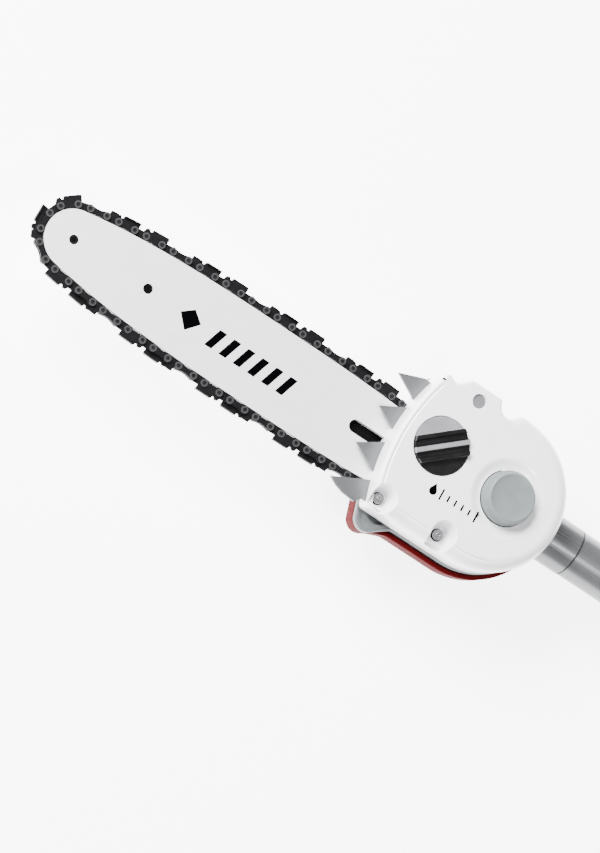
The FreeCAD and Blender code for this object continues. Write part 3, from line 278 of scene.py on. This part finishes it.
BEVELS_MM = {
    "guide_bar": 0.25, "spike_plate": 0.3, "cover_screws": 0.25, "housing_screws": 0.25, "pole_socket": 0.5,
    "seam_ring": 0.05, "upper_tube": 0.4, "lower_tube": 0.5, "strap_clamp": 0.6, "lock_collar": 0.8,
    "lock_lever": 0.7, "clamp_bolt": 0.3, "trigger": 1.2, "handle_screws": 0.2, "battery_case_back": 1.2,
    "battery_case_front": 1.2, "battery_rail": 0.4, "chain_drive_links": 0.08, "chain_cutters_near": 0.1,
    "chain_cutters_far": 0.1, "chain_tie_straps": 0.1, "bar_nuts": 0.3, "nose_rivet": 0.2,
}


def finish_cad_nodes():
    """Every CAD node takes its slot's material, smooth shading and, where it shows, an eased edge."""
    for row in frame["record"]["subparts"]:
        node = NODES[row["node"]]
        node.data.materials.clear()
        node.data.materials.append(MATERIALS[row["material_slot"]])
        shade(node, 32.0)
        if row["node"] in BEVELS_MM:
            bevel = node.modifiers.new("eased_edge", "BEVEL")
            bevel.width = BEVELS_MM[row["node"]] * MM
            bevel.segments = 2
            bevel.limit_method = "ANGLE"
            bevel.angle_limit = math.radians(40.0)


# ---------------------------------------------------------------- mesh tools

def make_piece(name, points, faces, slot, body, smooth_deg=35.0, replaces=()):
    """A mesh piece from points in millimetres about the drive axis, riding on a body."""
    data = bpy.data.meshes.new(name)
    world = np.asarray(points, float) * MM + ORIGIN
    data.from_pydata([tuple(p) for p in world], [], faces)
    data.validate()
    data.update()
    piece = bpy.data.objects.new(name, data)
    bpy.context.scene.collection.objects.link(piece)
    data.materials.append(MATERIALS[slot])
    shade(piece, smooth_deg)
    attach(piece, body)
    if replaces:
        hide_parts(*replaces)
    return piece


def shade(piece, degrees):
    data = piece.data
    data.polygons.foreach_set("use_smooth", [True] * len(data.polygons))
    data.set_sharp_from_angle(angle=math.radians(degrees))


def sheet_faces(rows, columns, closed):
    """Quads of a grid of rows by columns; closed joins the last column to the first."""
    faces = []
    last = columns if closed else columns - 1
    for i in range(rows - 1):
        for j in range(last):
            k = (j + 1) % columns
            faces.append((i * columns + j, i * columns + k, (i + 1) * columns + k, (i + 1) * columns + j))
    return faces


def lathe(profile, centre, axis=2, steps=96):
    """A solid of revolution: (radius, height) pairs turned about an axis through a centre."""
    angles = np.linspace(0, 2 * math.pi, steps, endpoint=False)
    rows = []
    for r, h in profile:
        a, b = r * np.cos(angles), r * np.sin(angles)
        c = np.full(steps, float(h))
        columns = {0: (c, a, b), 1: (b, c, a), 2: (a, b, c)}[axis]
        rows.append(np.stack(columns, 1))
    points = np.concatenate(rows) + np.asarray(centre, float)
    return points, sheet_faces(len(profile), steps, True)


def round_corner(r, h, radius, start_deg, end_deg, steps=6):
    """Points of a rounded corner of a lathe profile about (r, h)."""
    angles = np.radians(np.linspace(start_deg, end_deg, steps))
    return [(r + radius * math.cos(a), h + radius * math.sin(a)) for a in angles]


def smooth_step(x):
    x = np.clip(x, 0.0, 1.0)
    return x * x * (3 - 2 * x)


# ---------------------------------------------------------------- gear head outline

def arc_points(a, m, b, steps):
    """Points of the arc from a through m to b, without its last point."""
    a, m, b = (np.array(p, float) for p in (a, m, b))
    d = 2 * (a[0] * (m[1] - b[1]) + m[0] * (b[1] - a[1]) + b[0] * (a[1] - m[1]))
    sq = [p @ p for p in (a, m, b)]
    cx = (sq[0] * (m[1] - b[1]) + sq[1] * (b[1] - a[1]) + sq[2] * (a[1] - m[1])) / d
    cy = (sq[0] * (b[0] - m[0]) + sq[1] * (a[0] - b[0]) + sq[2] * (m[0] - a[0])) / d
    angle = [math.atan2(p[1] - cy, p[0] - cx) for p in (a, m, b)]
    turn = 2 * math.pi
    sweep = (angle[2] - angle[0]) % turn
    if (angle[1] - angle[0]) % turn > sweep:
        sweep -= turn
    r = math.hypot(a[0] - cx, a[1] - cy)
    t = angle[0] + sweep * np.arange(steps) / steps
    return [(cx + r * math.cos(v), cy + r * math.sin(v)) for v in t]


def line_points(a, b, steps):
    t = np.arange(steps) / steps
    return [(a[0] + (b[0] - a[0]) * v, a[1] + (b[1] - a[1]) * v) for v in t]


def head_outline(lobe, swell=0.0):
    """The head's closed outline, anticlockwise from the upper left, with the corner lobe or without it.

    The swell lets the lower edge and the round end stand out, as the shells behind the cover do."""
    cx, cy = HEAD_CENTRE
    bottom = cy - HEAD_R
    join = (cx + HEAD_R * math.cos(math.radians(95)), cy + HEAD_R * math.sin(math.radians(95)))
    points = arc_points((-71.5, 52.0), (-79.9, 8.0), (-72.4, -36.6), 90)
    if lobe:
        points += line_points((-72.4, -36.6), (-70.2, -43.5), 8)
        points += arc_points((-70.2, -43.5), (-64.0, -50.4), (-55.5, -48.0), 24)
        points += line_points((-55.5, -48.0), (-45.0, bottom - swell), 14)
        points += line_points((-45.0, bottom - swell), (cx, bottom - swell), 40)
    else:
        points += arc_points((-72.4, -36.6), (-71.0, -39.2), (-68.2, bottom), 12)
        points += line_points((-68.2, bottom), (cx, bottom), 60)
    points += arc_points((cx, bottom - swell), (cx + HEAD_R + swell * 0.5, cy), join, 170)
    points += line_points(join, (-15.0, 59.4), 4)
    points += line_points((-15.0, 59.4), (-18.6, 56.1), 6)
    points += arc_points((-18.6, 56.1), (-24.7, 52.6), (-30.2, 56.5), 14)
    points += line_points((-30.2, 56.5), (-31.6, 60.4), 5)
    points += line_points((-31.6, 60.4), (-54.6, 60.4), 22)
    points += line_points((-54.6, 60.4), (-60.6, 54.2), 9)
    points += arc_points((-60.6, 54.2), (-63.4, 53.2), (-67.0, 54.9), 8)
    points += arc_points((-67.0, 54.9), (-70.4, 54.6), (-71.5, 52.0), 8)
    return np.array(points)


def evenly(outline, spacing, rounding):
    """The outline resampled at an even spacing, with its corners eased by averaging neighbours."""
    closed = np.vstack([outline, outline[:1]])
    lengths = np.hypot(*np.diff(closed, axis=0).T)
    along = np.concatenate([[0], np.cumsum(lengths)])
    count = int(along[-1] / spacing)
    at = np.linspace(0, along[-1], count, endpoint=False)
    points = np.stack([np.interp(at, along, closed[:, k]) for k in (0, 1)], 1)
    for _ in range(rounding):
        points = (np.roll(points, 1, 0) + 2 * points + np.roll(points, -1, 0)) / 4
    return points


def distance_to(outline, points):
    """Distance of each point from a closed outline."""
    a = outline
    b = np.roll(outline, -1, 0)
    best = np.full(len(points), 1e9)
    for start, end in zip(a, b):
        edge = end - start
        t = np.clip(((points - start) @ edge) / (edge @ edge), 0, 1)
        gap = points - start - t[:, None] * edge
        best = np.minimum(best, np.einsum("ij,ij->i", gap, gap))
    return np.sqrt(best)


# ---------------------------------------------------------------- cover

HUB = np.array([-18.0, 8.0])      # the cover's grid is drawn in rays from here


def pocket_depth(points, centre, floor, surface):
    """A scooped screw pocket: a flat floor, sides that climb to the surface, open to the lower edge."""
    beside = points[:, 0] - centre[0]
    above = np.maximum(points[:, 1] - centre[1], 0.0)
    reach = np.hypot(beside, above)
    climb = smooth_step((reach - 4.6) / 4.4)
    return floor + (surface - floor) * climb ** 0.8


DISH_DEPTH = 2.4


def cover_surface(points, edge):
    """Height of the cover's front at each point, from its distance to the outline."""
    direction = points - HUB
    angle = np.degrees(np.arctan2(direction[:, 1], direction[:, 0]))
    soft = smooth_step((angle + 150.0) / 25.0) * (1 - smooth_step((angle - 70.0) / 35.0))
    radius = 2.2 + 7.0 * soft
    inside = np.clip(edge, 0.0, radius)
    front = COVER_FRONT - (radius - np.sqrt(np.maximum(radius ** 2 - (radius - inside) ** 2, 0.0)))
    from_button = np.hypot(points[:, 0] - BUTTON[0], points[:, 1] - BUTTON[1])
    dish = DISH_DEPTH * (1 - smooth_step((from_button - 18.0) / 7.5))
    front = front - dish
    for centre in (SCREW_A, SCREW_B):
        scoop = pocket_depth(points, centre, POCKET_FLOOR, COVER_FRONT + 1.0)
        blend = np.clip(0.5 + (scoop - front) / 2.4, 0, 1)
        front = scoop * (1 - blend) + front * blend - 1.2 * blend * (1 - blend)
    beside = (edge - 3.3) / 0.55
    along_left = smooth_step((points[:, 1] + 34.0) / 5.0) * (1 - smooth_step((points[:, 1] - 44.0) / 5.0))
    front = front - 0.55 * np.exp(-beside ** 2) * along_left * (points[:, 0] < -55.0)
    along_low = smooth_step((points[:, 0] + 62.0) / 6.0) * (1 - smooth_step((points[:, 0] - 4.0) / 12.0))
    front = front - 0.5 * np.exp(-((edge - 6.4) / 0.6) ** 2) * along_low * (points[:, 1] < -25.0)
    crease = (points[:, 1] - 33.5) + (points[:, 0] + 30.0) * 0.35
    band = np.exp(-(crease / 2.6) ** 2) * (1 - smooth_step((np.abs(points[:, 0] + 22.0) - 16.0) / 6.0))
    front = front + 0.35 * band
    from_tab_screw = np.hypot(points[:, 0] - SCREW_C[0], points[:, 1] - SCREW_C[1])
    front = np.where(from_tab_screw < 4.5, np.minimum(front, 20.0), front)
    from_cap = np.hypot(points[:, 0] - CAP[0], points[:, 1] - CAP[1])
    front = np.where(from_cap < 18.35, np.minimum(front, 20.5), front)
    return front


def make_cover():
    outline = evenly(head_outline(False), 0.5, 3)
    columns = len(outline)
    spacing = np.concatenate([np.linspace(0.004, 0.80, 120), np.linspace(0.80, 1.0, 66)[1:]])
    grid = np.concatenate([HUB + (outline - HUB) * t for t in spacing])
    edge = distance_to(outline[::2], grid)
    edge[-columns:] = 0.0
    heights = cover_surface(grid, edge)
    points = np.column_stack([grid, heights])
    wall_top = heights[-columns:]
    rows = len(spacing)
    wall = []
    for share in (0.08, 0.35, 0.7, 0.97):
        z = wall_top + (COVER_BACK + 0.4 - wall_top) * share
        wall.append(np.column_stack([outline, z]))
    hub_dir = (outline - HUB) / np.linalg.norm(outline - HUB, axis=1)[:, None]
    wall.append(np.column_stack([outline - hub_dir * 0.35, np.full(columns, COVER_BACK)]))
    wall.append(np.column_stack([outline - hub_dir * 2.5, np.full(columns, COVER_BACK)]))
    wall.append(np.column_stack([outline - hub_dir * 2.6, np.full(columns, COVER_FRONT - 10.0)]))
    points = np.vstack([points] + wall)
    faces = sheet_faces(rows + len(wall), columns, True)
    faces.append(tuple(range(columns)))
    return make_piece("gear_cover", points, faces, "white_plastic", "head", 40.0, ("cover_shell",))


# ---------------------------------------------------------------- filler cap and oiler button

CAP_R = 18.0
RIDGE_DEG = 40.0


# the faces marked lighter carry a painted highlight: the middle rib's top and the face's upper segment
CAP_PROFILE = (   # distance across the grip bar, height, and whether the face is the lighter one
    (-17.9, 22.1, 0), (-17.0, 22.4, 0), (-9.0, 22.2, 0), (-8.6, 22.5, 0), (-8.4, 25.2, 0), (-8.1, 25.6, 0),
    (-5.9, 25.6, 0), (-5.6, 25.3, 0), (-5.3, 23.5, 0), (-1.9, 23.4, 0), (-1.7, 25.3, 1), (-1.4, 25.6, 1),
    (1.3, 25.6, 1), (1.6, 25.3, 0), (1.8, 23.4, 0), (5.3, 23.5, 0), (5.6, 25.3, 0), (5.9, 25.6, 0),
    (8.1, 25.6, 0), (8.4, 25.2, 0), (8.6, 22.6, 1), (9.2, 22.3, 1), (17.0, 22.5, 1), (17.9, 22.1, 1),
)


def cap_face():
    """The cap's face as rows that run along the grip bar, each as long as the circle lets it be."""
    shares = np.sin(np.linspace(-math.pi / 2, math.pi / 2, 41))
    rows, light = [], []
    for (a0, z0, _), (a1, z1, tone) in zip(CAP_PROFILE, CAP_PROFILE[1:]):
        steps = max(1, int(abs(a1 - a0) / 0.8))
        for k in range(steps):
            t = k / steps
            rows.append((a0 + (a1 - a0) * t, z0 + (z1 - z0) * t))
            light.append(tone)
    rows.append(CAP_PROFILE[-1][:2])
    points = []
    for across, z in rows:
        reach = math.sqrt(max(CAP_R ** 2 - across ** 2, 0.01))
        edge_drop = np.where(np.abs(shares) > 0.995, max(z - 22.1, 0.0), 0.0)
        points += [(reach * u, across, z - drop) for u, drop in zip(shares, edge_drop)]
    return np.array(points), len(rows), len(shares), light


def make_filler_cap():
    """A round cap: a skirt turned about its axis and a face with a grip bar of three ribs, partly in a
    lighter grey that paints the highlight.
    """
    skirt = [(0.01, 16.3), (11.9, 16.3), (11.9, 20.6), (CAP_R - 0.3, 20.6), (CAP_R, 20.9), (CAP_R, 21.8),
             (CAP_R - 0.3, 22.1), (CAP_R - 0.8, 22.15), (10.0, 22.0)]
    points, faces = lathe(skirt, (0.0, 0.0, 0.0), 2, 160)
    face, rows, columns, light = cap_face()
    turn = math.radians(RIDGE_DEG)
    x = face[:, 0] * math.cos(turn) - face[:, 1] * math.sin(turn)
    y = face[:, 0] * math.sin(turn) + face[:, 1] * math.cos(turn)
    start = len(points)
    top = sheet_faces(rows, columns, False)
    points = np.vstack([points, np.column_stack([x, y, face[:, 2]])]) + np.array([CAP[0], CAP[1], 0.0])
    every = faces + [tuple(start + i for i in f) for f in top]
    cap = make_piece("filler_cap", points, every, "cap_plastic", "filler_cap", 25.0, ("oil_cap",))
    # the second, lighter grey material paints the highlight on the faces the profile marks
    cap.data.materials.append(MATERIALS["cap_painted_highlight"])
    for i in range(len(top)):
        cap.data.polygons[len(faces) + i].material_index = light[i // (columns - 1)]
    return cap


def make_oiler_button():
    top = extent("oiler_button", 2)[1]
    profile = [(0.01, top - 0.5), (8.0, top - 0.5), (13.0, top - 0.42), (13.6, top - 0.2)]
    profile += round_corner(14.2, top - 1.0, 1.0, 90, 15)
    profile += [(15.35, top - 1.6), (16.2, top - 4.4)]
    profile += round_corner(16.2, top - 5.6, 0.8, 40, 0)
    profile += [(17.0, 13.8), (16.8, 13.6), (14.6, 13.6), (14.6, 24.0), (13.0, 27.4), (0.01, 27.4)]
    points, faces = lathe(profile, (BUTTON[0], BUTTON[1], 0.0), 2, 128)
    return make_piece("oiler_push_button", points, faces, "button_grey", "oiler", 30.0, ("oiler_button",))


def make_button_gap():
    """The gap between the button and the cover, as a thin ring of painted shade."""
    inner, outer = 17.03, 17.6
    top = COVER_FRONT - DISH_DEPTH + 0.06
    low = top - 0.6
    profile = [(inner, top), (outer, top), (outer, low), (inner, low), (inner, top)]
    points, faces = lathe(profile, (BUTTON[0], BUTTON[1], 0.0), 2, 128)
    make_piece("button_gap", points, faces, "shadow_black", "head", 30.0)


# ---------------------------------------------------------------- rear housing and mid frame

def rays(outline, centre, inset):
    """The outline drawn in towards a centre by an inset."""
    reach = outline - centre
    length = np.linalg.norm(reach, axis=1)[:, None]
    return centre + reach * (1 - inset / length)


REAR_LEFT_X = -71.0
HOUSING_BACK = -27.4


def drawn_in(outline):
    """Moves the upper left edge in, so that the shells stay hidden behind the cover from the front."""
    made = outline.copy()
    left = (outline[:, 0] < REAR_LEFT_X) & (outline[:, 1] > 8.0)
    share = smooth_step((outline[left, 1] - 8.0) / 14.0)
    made[left, 0] += (REAR_LEFT_X - outline[left, 0]) * share
    return made


def make_rear_casing():
    """The outline's wall, a rounded back edge, the back face and the motor bulge, in one skin."""
    centre = MOTOR[:2]
    outline = drawn_in(evenly(head_outline(True, HOUSING_SWELL), 1.0, 4))
    columns = len(outline)
    rows = [np.column_stack([rays(outline, centre, 3.0), np.full(columns, HOUSING_FRONT)]),
            np.column_stack([rays(outline, centre, 0.5), np.full(columns, HOUSING_FRONT)]),
            np.column_stack([rays(outline, centre, 0.05), np.full(columns, HOUSING_FRONT - 0.4)])]
    back = HOUSING_BACK
    for deg in np.linspace(0, 90, 9):
        inset = 6.5 * (1 - math.cos(math.radians(deg))) + 0.05
        z = back + 6.5 - 6.5 * math.sin(math.radians(deg))
        rows.append(np.column_stack([rays(outline, centre, inset), np.full(columns, z)]))
    ray = (outline - centre) / np.linalg.norm(outline - centre, axis=1)[:, None]
    bulge = [(31.0, back), (28.2, back - 0.8), (27.0, back - 3.0), (26.8, -40.0), (26.6, -50.0)]
    bulge += [(22.6 + 4.0 * math.cos(math.radians(a)), BULGE_BACK + 4.0 - 4.0 * math.sin(math.radians(a)))
              for a in (0, 20, 40, 60, 80, 90)]
    bulge += [(18.0, BULGE_BACK), (17.4, BULGE_BACK + 0.6), (0.02, BULGE_BACK + 0.6)]
    for r, z in bulge:
        rows.append(np.column_stack([centre + ray * r, np.full(columns, z)]))
    points = np.concatenate(rows)
    faces = [tuple(reversed(f)) for f in sheet_faces(len(rows), columns, True)]
    return make_piece("rear_casing", points, faces, "red_housing", "head", 35.0, ("rear_housing",))


def make_gear_plate():
    """The grey plate between the cover and the rear casing, with a raised rim round its corner lobe."""
    centre = MOTOR[:2]
    outline = drawn_in(evenly(head_outline(True, FRAME_SWELL), 0.8, 3))
    columns = len(outline)
    front = COVER_BACK - 0.15
    rows = []
    profile = [(9.0, front - 1.2), (3.6, front - 1.2), (2.9, front - 0.2), (1.5, front), (0.6, front - 0.35),
               (0.15, front - 1.0), (0.02, FRAME_BACK + 0.8), (0.5, FRAME_BACK), (20.0, FRAME_BACK)]
    for inset, z in profile:
        rows.append(np.column_stack([rays(outline, centre, inset), np.full(columns, z)]))
    points = np.concatenate(rows)
    faces = sheet_faces(len(rows), columns, True)
    return make_piece("gear_plate", points, faces, "grey_housing", "head", 35.0, ("mid_frame",))


# ---------------------------------------------------------------- bar details

def slab(name, outline, z0, z1, ease, slot, body):
    """A thin flat piece with an eased front edge, from a closed anticlockwise outline round its middle."""
    outline = np.asarray(outline, float)
    centre = outline.mean(0)
    rows = []
    for inset, z in ((0.0, z0), (0.0, z1 - ease), (ease, z1)):
        reach = outline - centre
        length = np.linalg.norm(reach, axis=1)[:, None]
        rows.append(np.column_stack([centre + reach * (1 - inset / length), np.full(len(outline), z)]))
    points = np.vstack(rows)
    n = len(outline)
    faces = sheet_faces(3, n, True)
    faces.append(tuple(range(2 * n, 3 * n)))
    faces.append(tuple(reversed(range(n))))
    return make_piece(name, points, faces, slot, body, 30.0)


def stadium(x0, x1, y, r, steps=16):
    """A slot's outline with round ends, from x0 to x1."""
    right = np.radians(np.linspace(-90, 90, steps))
    left = np.radians(np.linspace(90, 270, steps))
    return [(x1 - r + r * math.cos(a), y + r * math.sin(a)) for a in right] + \
           [(x0 + r + r * math.cos(a), y + r * math.sin(a)) for a in left]


def disc(centre, r, steps=40):
    return [(centre[0] + r * math.cos(a), centre[1] + r * math.sin(a))
            for a in np.linspace(0, 2 * math.pi, steps, endpoint=False)]


def make_bar_hole_shades():
    """Dark discs of painted shade in the bar's holes and a dark strip of painted shade behind its slot."""
    hole = (NOSE[0] + 54.2, NOSE[1])
    # a dark disc of painted shade fills the hole
    slab("bar_hole_shade", disc(hole, 3.1), -1.6, 1.2, 0.1, "shadow_black", "head")
    head = extent("nose_rivet", 2)[1]
    slab("nose_rivet_ring", disc(NOSE[:2], 3.1), head - 0.3, head + 0.04, 0.2, "chain_steel", "head")
    # a dark disc of painted shade in the rivet's hollow centre
    slab("nose_rivet_shade", disc(NOSE[:2], 1.7), head - 0.3, head + 0.07, 0.1, "shadow_black", "head")
    # a dark strip of painted shade seen through the slot
    slab("bar_slot_shade", stadium(-105.5, -76.5, 0.0, 5.4), -4.4, -2.15, 0.2, "shadow_black", "head")


def slanted(x0, x1, y0, y1, slant):
    """A parallelogram's outline with some points along each edge."""
    corners = [(x0, y0), (x1, y0), (x1 + slant, y1), (x0 + slant, y1)]
    points = []
    for a, b in zip(corners, corners[1:] + corners[:1]):
        points += line_points(a, b, 4)
    return points


def make_bar_mark():
    """A plain geometric mark on the bar: a pointed diamond and six slanted strokes."""
    front = extent("guide_bar", 2)[1]
    x, y = NOSE[0] + 86.0, -1.5
    diamond = [(x - 7.5, y + 1.0), (x, y - 7.5), (x + 7.5, y + 1.0), (x, y + 7.0)]
    slab("bar_mark_diamond", diamond, front - 0.1, front + 0.02, 0.01, "ink", "head")
    for i in range(6):
        left = x + 15.0 + 10.5 * i
        outline = slanted(left, left + 5.2, y - 8.0, y + 5.0, 4.5)
        slab("bar_mark_stroke_%d" % (i + 1), outline, front - 0.1, front + 0.02, 0.01, "ink", "head")


def make_capacity_mark():
    """A plain level scale on the cover, in place of lettering: a row of ticks and a droplet."""
    front = COVER_FRONT
    y = -11.2
    for i in range(6):
        x = -37.0 + 5.2 * i
        tall = 3.9 if i % 5 == 0 else 2.3
        outline = stadium_upright(x, y - tall, y + tall, 0.62)
        slab("level_tick_%d" % (i + 1), outline, front - 0.3, front + 0.03, 0.01, "ink", "head")
    drop_x, drop_r = -43.0, 2.6
    drop = [(drop_x + drop_r * math.cos(a), y - 1.0 + drop_r * math.sin(a))
            for a in np.radians(np.linspace(150, 390, 24))]
    drop.append((drop_x, y + 4.2))
    slab("level_droplet", drop, front - 0.3, front + 0.03, 0.01, "ink", "head")


def stadium_upright(x, y0, y1, r):
    return [(x + b, a) for a, b in ((p[0], -p[1]) for p in stadium(y0, y1, 0.0, r, 6))]


def make_cover_details():
    """A slot at the upper corner and seats under two screws, dark with painted shade, and a grey plug over
    the third.
    """
    for name, centre in (("left", SCREW_A), ("lower", SCREW_B)):
        # dark discs of painted shade under the screws in their pockets
        slab("screw_seat_shade_" + name, disc(centre, 4.1), POCKET_FLOOR - 1.0, POCKET_FLOOR + 0.05, 0.02,
             "shadow_black", "head")
    slab("tab_plug", disc(SCREW_C, 4.25), 20.22, 20.9, 0.2, "plug_grey", "head")
    # the slot's dark is painted shade
    slab("cover_slot", stadium(-72.1, -69.0, 50.4, 0.6), COVER_FRONT - 1.5, COVER_FRONT - 0.02, 0.1,
         "shadow_black", "head")


# ---------------------------------------------------------------- rear vents and screws

HOUSING_SCREWS = ((-64.5, -42.5), (-66.0, 40.0), (-4.0, 52.6), (24.0, -18.0))


def make_motor_vents():
    """Vents round the back of the motor's bulge, drawn as dark slots of painted shade."""
    for i in range(10):
        angle = math.radians(36.0 * i)
        outline = []
        for px, py in stadium(9.0, 16.0, 0.0, 1.3, 8):
            outline.append((MOTOR[0] + px * math.cos(angle) - py * math.sin(angle),
                            MOTOR[1] + px * math.sin(angle) + py * math.cos(angle)))
        # each slot is dark with painted shade
        slab("motor_vent_%d" % (i + 1), outline, BULGE_BACK + 0.4, BULGE_BACK + 2.0, 0.1,
             "shadow_black", "head")


def make_back_screws():
    """The heads of the rear screws in counterbores drawn as dark discs of painted shade."""
    for i, centre in enumerate(HOUSING_SCREWS):
        # the counterbore's dark disc is painted shade
        slab("back_counterbore_%d" % (i + 1), disc(centre, 3.3), -27.46, -25.0, 0.1, "shadow_black", "head")
        slab("back_screw_%d" % (i + 1), disc(centre, 2.7), -27.5, -25.2, 0.2, "zinc_steel", "head")


# ---------------------------------------------------------------- pole, handle and battery details

def make_collar_ribs():
    """Two raised ribs round the lock collar."""
    x0, x1 = extent("lock_collar", 0)
    for name, x in (("front", x0 + 3.5), ("rear", x1 - 3.5)):
        profile = [(22.6, x - 2.2), (23.4, x - 1.8), (23.7, x - 1.0),
                   (23.7, x + 1.0), (23.4, x + 1.8), (22.6, x + 2.2)]
        points, faces = lathe(profile, (0.0, POLE_Y, POLE_Z), 0, 96)
        make_piece("collar_rib_" + name, points, faces, "black_plastic", "lower_pole", 50.0)


def make_grip_ends():
    """The firmer rings at the two ends of the foam grip."""
    x0, x1 = extent("foam_grip", 0)
    for name, x in (("front", x0 + 2.0), ("rear", x1 - 2.0)):
        profile = [(19.0, x - 3.4), (21.6, x - 3.2), (22.7, x - 2.2),
                   (22.7, x + 2.2), (21.6, x + 3.2), (19.0, x + 3.4)]
        points, faces = lathe(profile, (0.0, POLE_Y, POLE_Z), 0, 96)
        make_piece("grip_end_" + name, points, faces, "black_rubber", "lower_pole", 50.0)


def rounded_section(y, z, half_y, half_z, r, steps=12):
    """A rounded rectangle's points across the pole."""
    points = []
    for k, (sy, sz) in enumerate(((1, 1), (-1, 1), (-1, -1), (1, -1))):
        for a in np.radians(90.0 * k + np.linspace(0, 90, steps)):
            points.append((y + sy * (half_y - r) + r * math.cos(a), z + sz * (half_z - r) + r * math.sin(a)))
    return points


def make_handle_sleeve():
    """A ribbed rubber sleeve on the handle's waist."""
    end = extent("handle_shell_front", 0)[1]
    stations = ((-177.0, 15.5, 25.0, 20.5, 16.0), (-132.0, 16.0, 21.5, 19.0, 15.0),
                (-82.0, 16.0, 21.5, 19.0, 15.0), (-47.0, 15.0, 30.0, 24.0, 16.0))
    at = [row[0] for row in stations]
    rows = []
    for x in np.linspace(-162.0, -58.0, 105):
        y, hy, hz, r = (np.interp(x, at, [row[k] for row in stations]) for k in (1, 2, 3, 4))
        from_end = min(x + 162.0, -58.0 - x)
        lift = -0.6 + 1.1 * smooth_step(from_end / 2.0)
        lift += 0.3 * math.sin(x * math.pi / 3.0) * smooth_step((from_end - 8.0) / 4.0)
        ring = rounded_section(y, POLE_Z, hy + lift, hz + lift, r + lift)
        rows += [(end + x, py, pz) for py, pz in ring]
    columns = 48
    make_piece("handle_sleeve", rows, sheet_faces(len(rows) // columns, columns, True), "black_rubber",
               "lower_pole", 40.0)


def make_battery_details():
    """A charge panel with four windows and a push, on the battery's front."""
    x0, x1 = extent("battery_case_front", 0)
    front = extent("battery_case_front", 2)[1]
    y0, y1 = extent("battery_case_front", 1)
    x, y = (x0 + x1) / 2, (y0 + y1) / 2
    panel = [(x + a, y + b) for a, b in rounded_section(0.0, 0.0, 18.0, 30.0, 5.0, 8)]
    slab("charge_panel", panel, front - 0.5, front + 0.5, 0.3, "black_rubber", "battery")
    for i in range(4):
        light = stadium(x - 5.0, x + 5.0, y - 18.0 + 8.0 * i, 1.5, 8)
        slab("charge_window_%d" % (i + 1), light, front, front + 0.7, 0.15, "button_grey", "battery")
    slab("charge_push", disc((x, y + 17.0), 4.0), front, front + 0.9, 0.4, "button_grey", "battery")


# ---------------------------------------------------------------- stage, light and camera

def make_floor():
    """A pale floor, which glows a little so that it stays plain under the saw."""
    data = bpy.data.meshes.new("studio_floor")
    size, z = 12.0, 0.0
    corners = [(-size, -size, z), (size, -size, z), (size, size, z), (-size, size, z)]
    data.from_pydata(corners, [], [(0, 1, 2, 3)])
    floor = bpy.data.objects.new("studio_floor", data)
    bpy.context.scene.collection.objects.link(floor)
    s = Surface("studio_floor", (0.93, 0.93, 0.93, 1.0), 0.9, specular=0.1)
    s.set("Emission Color", (1.0, 1.0, 1.0, 1.0))
    s.set("Emission Strength", 5.0)
    s.vary_colour(s.noise(2.0), 0.995, 1.005)
    data.materials.append(s.material)


UP = Vector((-0.5316, 0.8439, 0.0688))
BACK = Vector((-0.2600, -0.2400, 0.9350))
CAMERA_TARGET = (-140.3, -28.8, 38.9)
CAMERA_DISTANCE = 2.538


def make_camera():
    """A long lens from the cover's side, rolled as the saw is held."""
    data = bpy.data.cameras.new("camera")
    data.lens = 180.0
    data.sensor_width = 36.0
    data.clip_start, data.clip_end = 0.1, 50.0
    camera = bpy.data.objects.new("camera", data)
    bpy.context.scene.collection.objects.link(camera)
    target = Vector(np.array(CAMERA_TARGET) * MM + ORIGIN)
    back = BACK.normalized()
    right = UP.cross(back).normalized()
    up = back.cross(right)
    spot = target + back * CAMERA_DISTANCE
    camera.matrix_world = Matrix((
        (right.x, up.x, back.x, spot.x),
        (right.y, up.y, back.y, spot.y),
        (right.z, up.z, back.z, spot.z),
        (0, 0, 0, 1)))
    bpy.context.scene.camera = camera
    return target, right, up, back


def make_light(name, spot, target, size, power):
    data = bpy.data.lights.new(name, "AREA")
    data.shape = "RECTANGLE"
    data.size, data.size_y = size
    data.energy = power
    light = bpy.data.objects.new(name, data)
    light.location = spot
    light.rotation_mode = "QUATERNION"
    light.rotation_quaternion = (target - spot).to_track_quat("-Z", "Y")
    bpy.context.scene.collection.objects.link(light)


def make_lights(target, right, up, back):
    world = bpy.data.worlds.new("studio")
    bpy.context.scene.world = world
    world.use_nodes = True
    world.node_tree.nodes["Background"].inputs["Color"].default_value = (1, 1, 1, 1)
    world.node_tree.nodes["Background"].inputs["Strength"].default_value = 0.5
    make_light("key_light", target + up * 1.3 + back * 1.5 - right * 0.4, target, (1.4, 0.8), 225.0)
    make_light("fill_light", target - right * 1.9 + back * 1.0 - up * 0.3, target, (1.0, 1.2), 22.0)
    make_light("strip_light", target + Vector((0.62, -0.78, 2.2)), target, (0.5, 0.22), 34.0)


# ---------------------------------------------------------------- build

finish_cad_nodes()
make_cover()
make_filler_cap()
make_oiler_button()
make_button_gap()
make_rear_casing()
make_gear_plate()
make_bar_hole_shades()
make_bar_mark()
make_capacity_mark()
make_cover_details()
make_motor_vents()
make_back_screws()
make_collar_ribs()
make_grip_ends()
make_handle_sleeve()
make_battery_details()
make_floor()
make_lights(*make_camera())
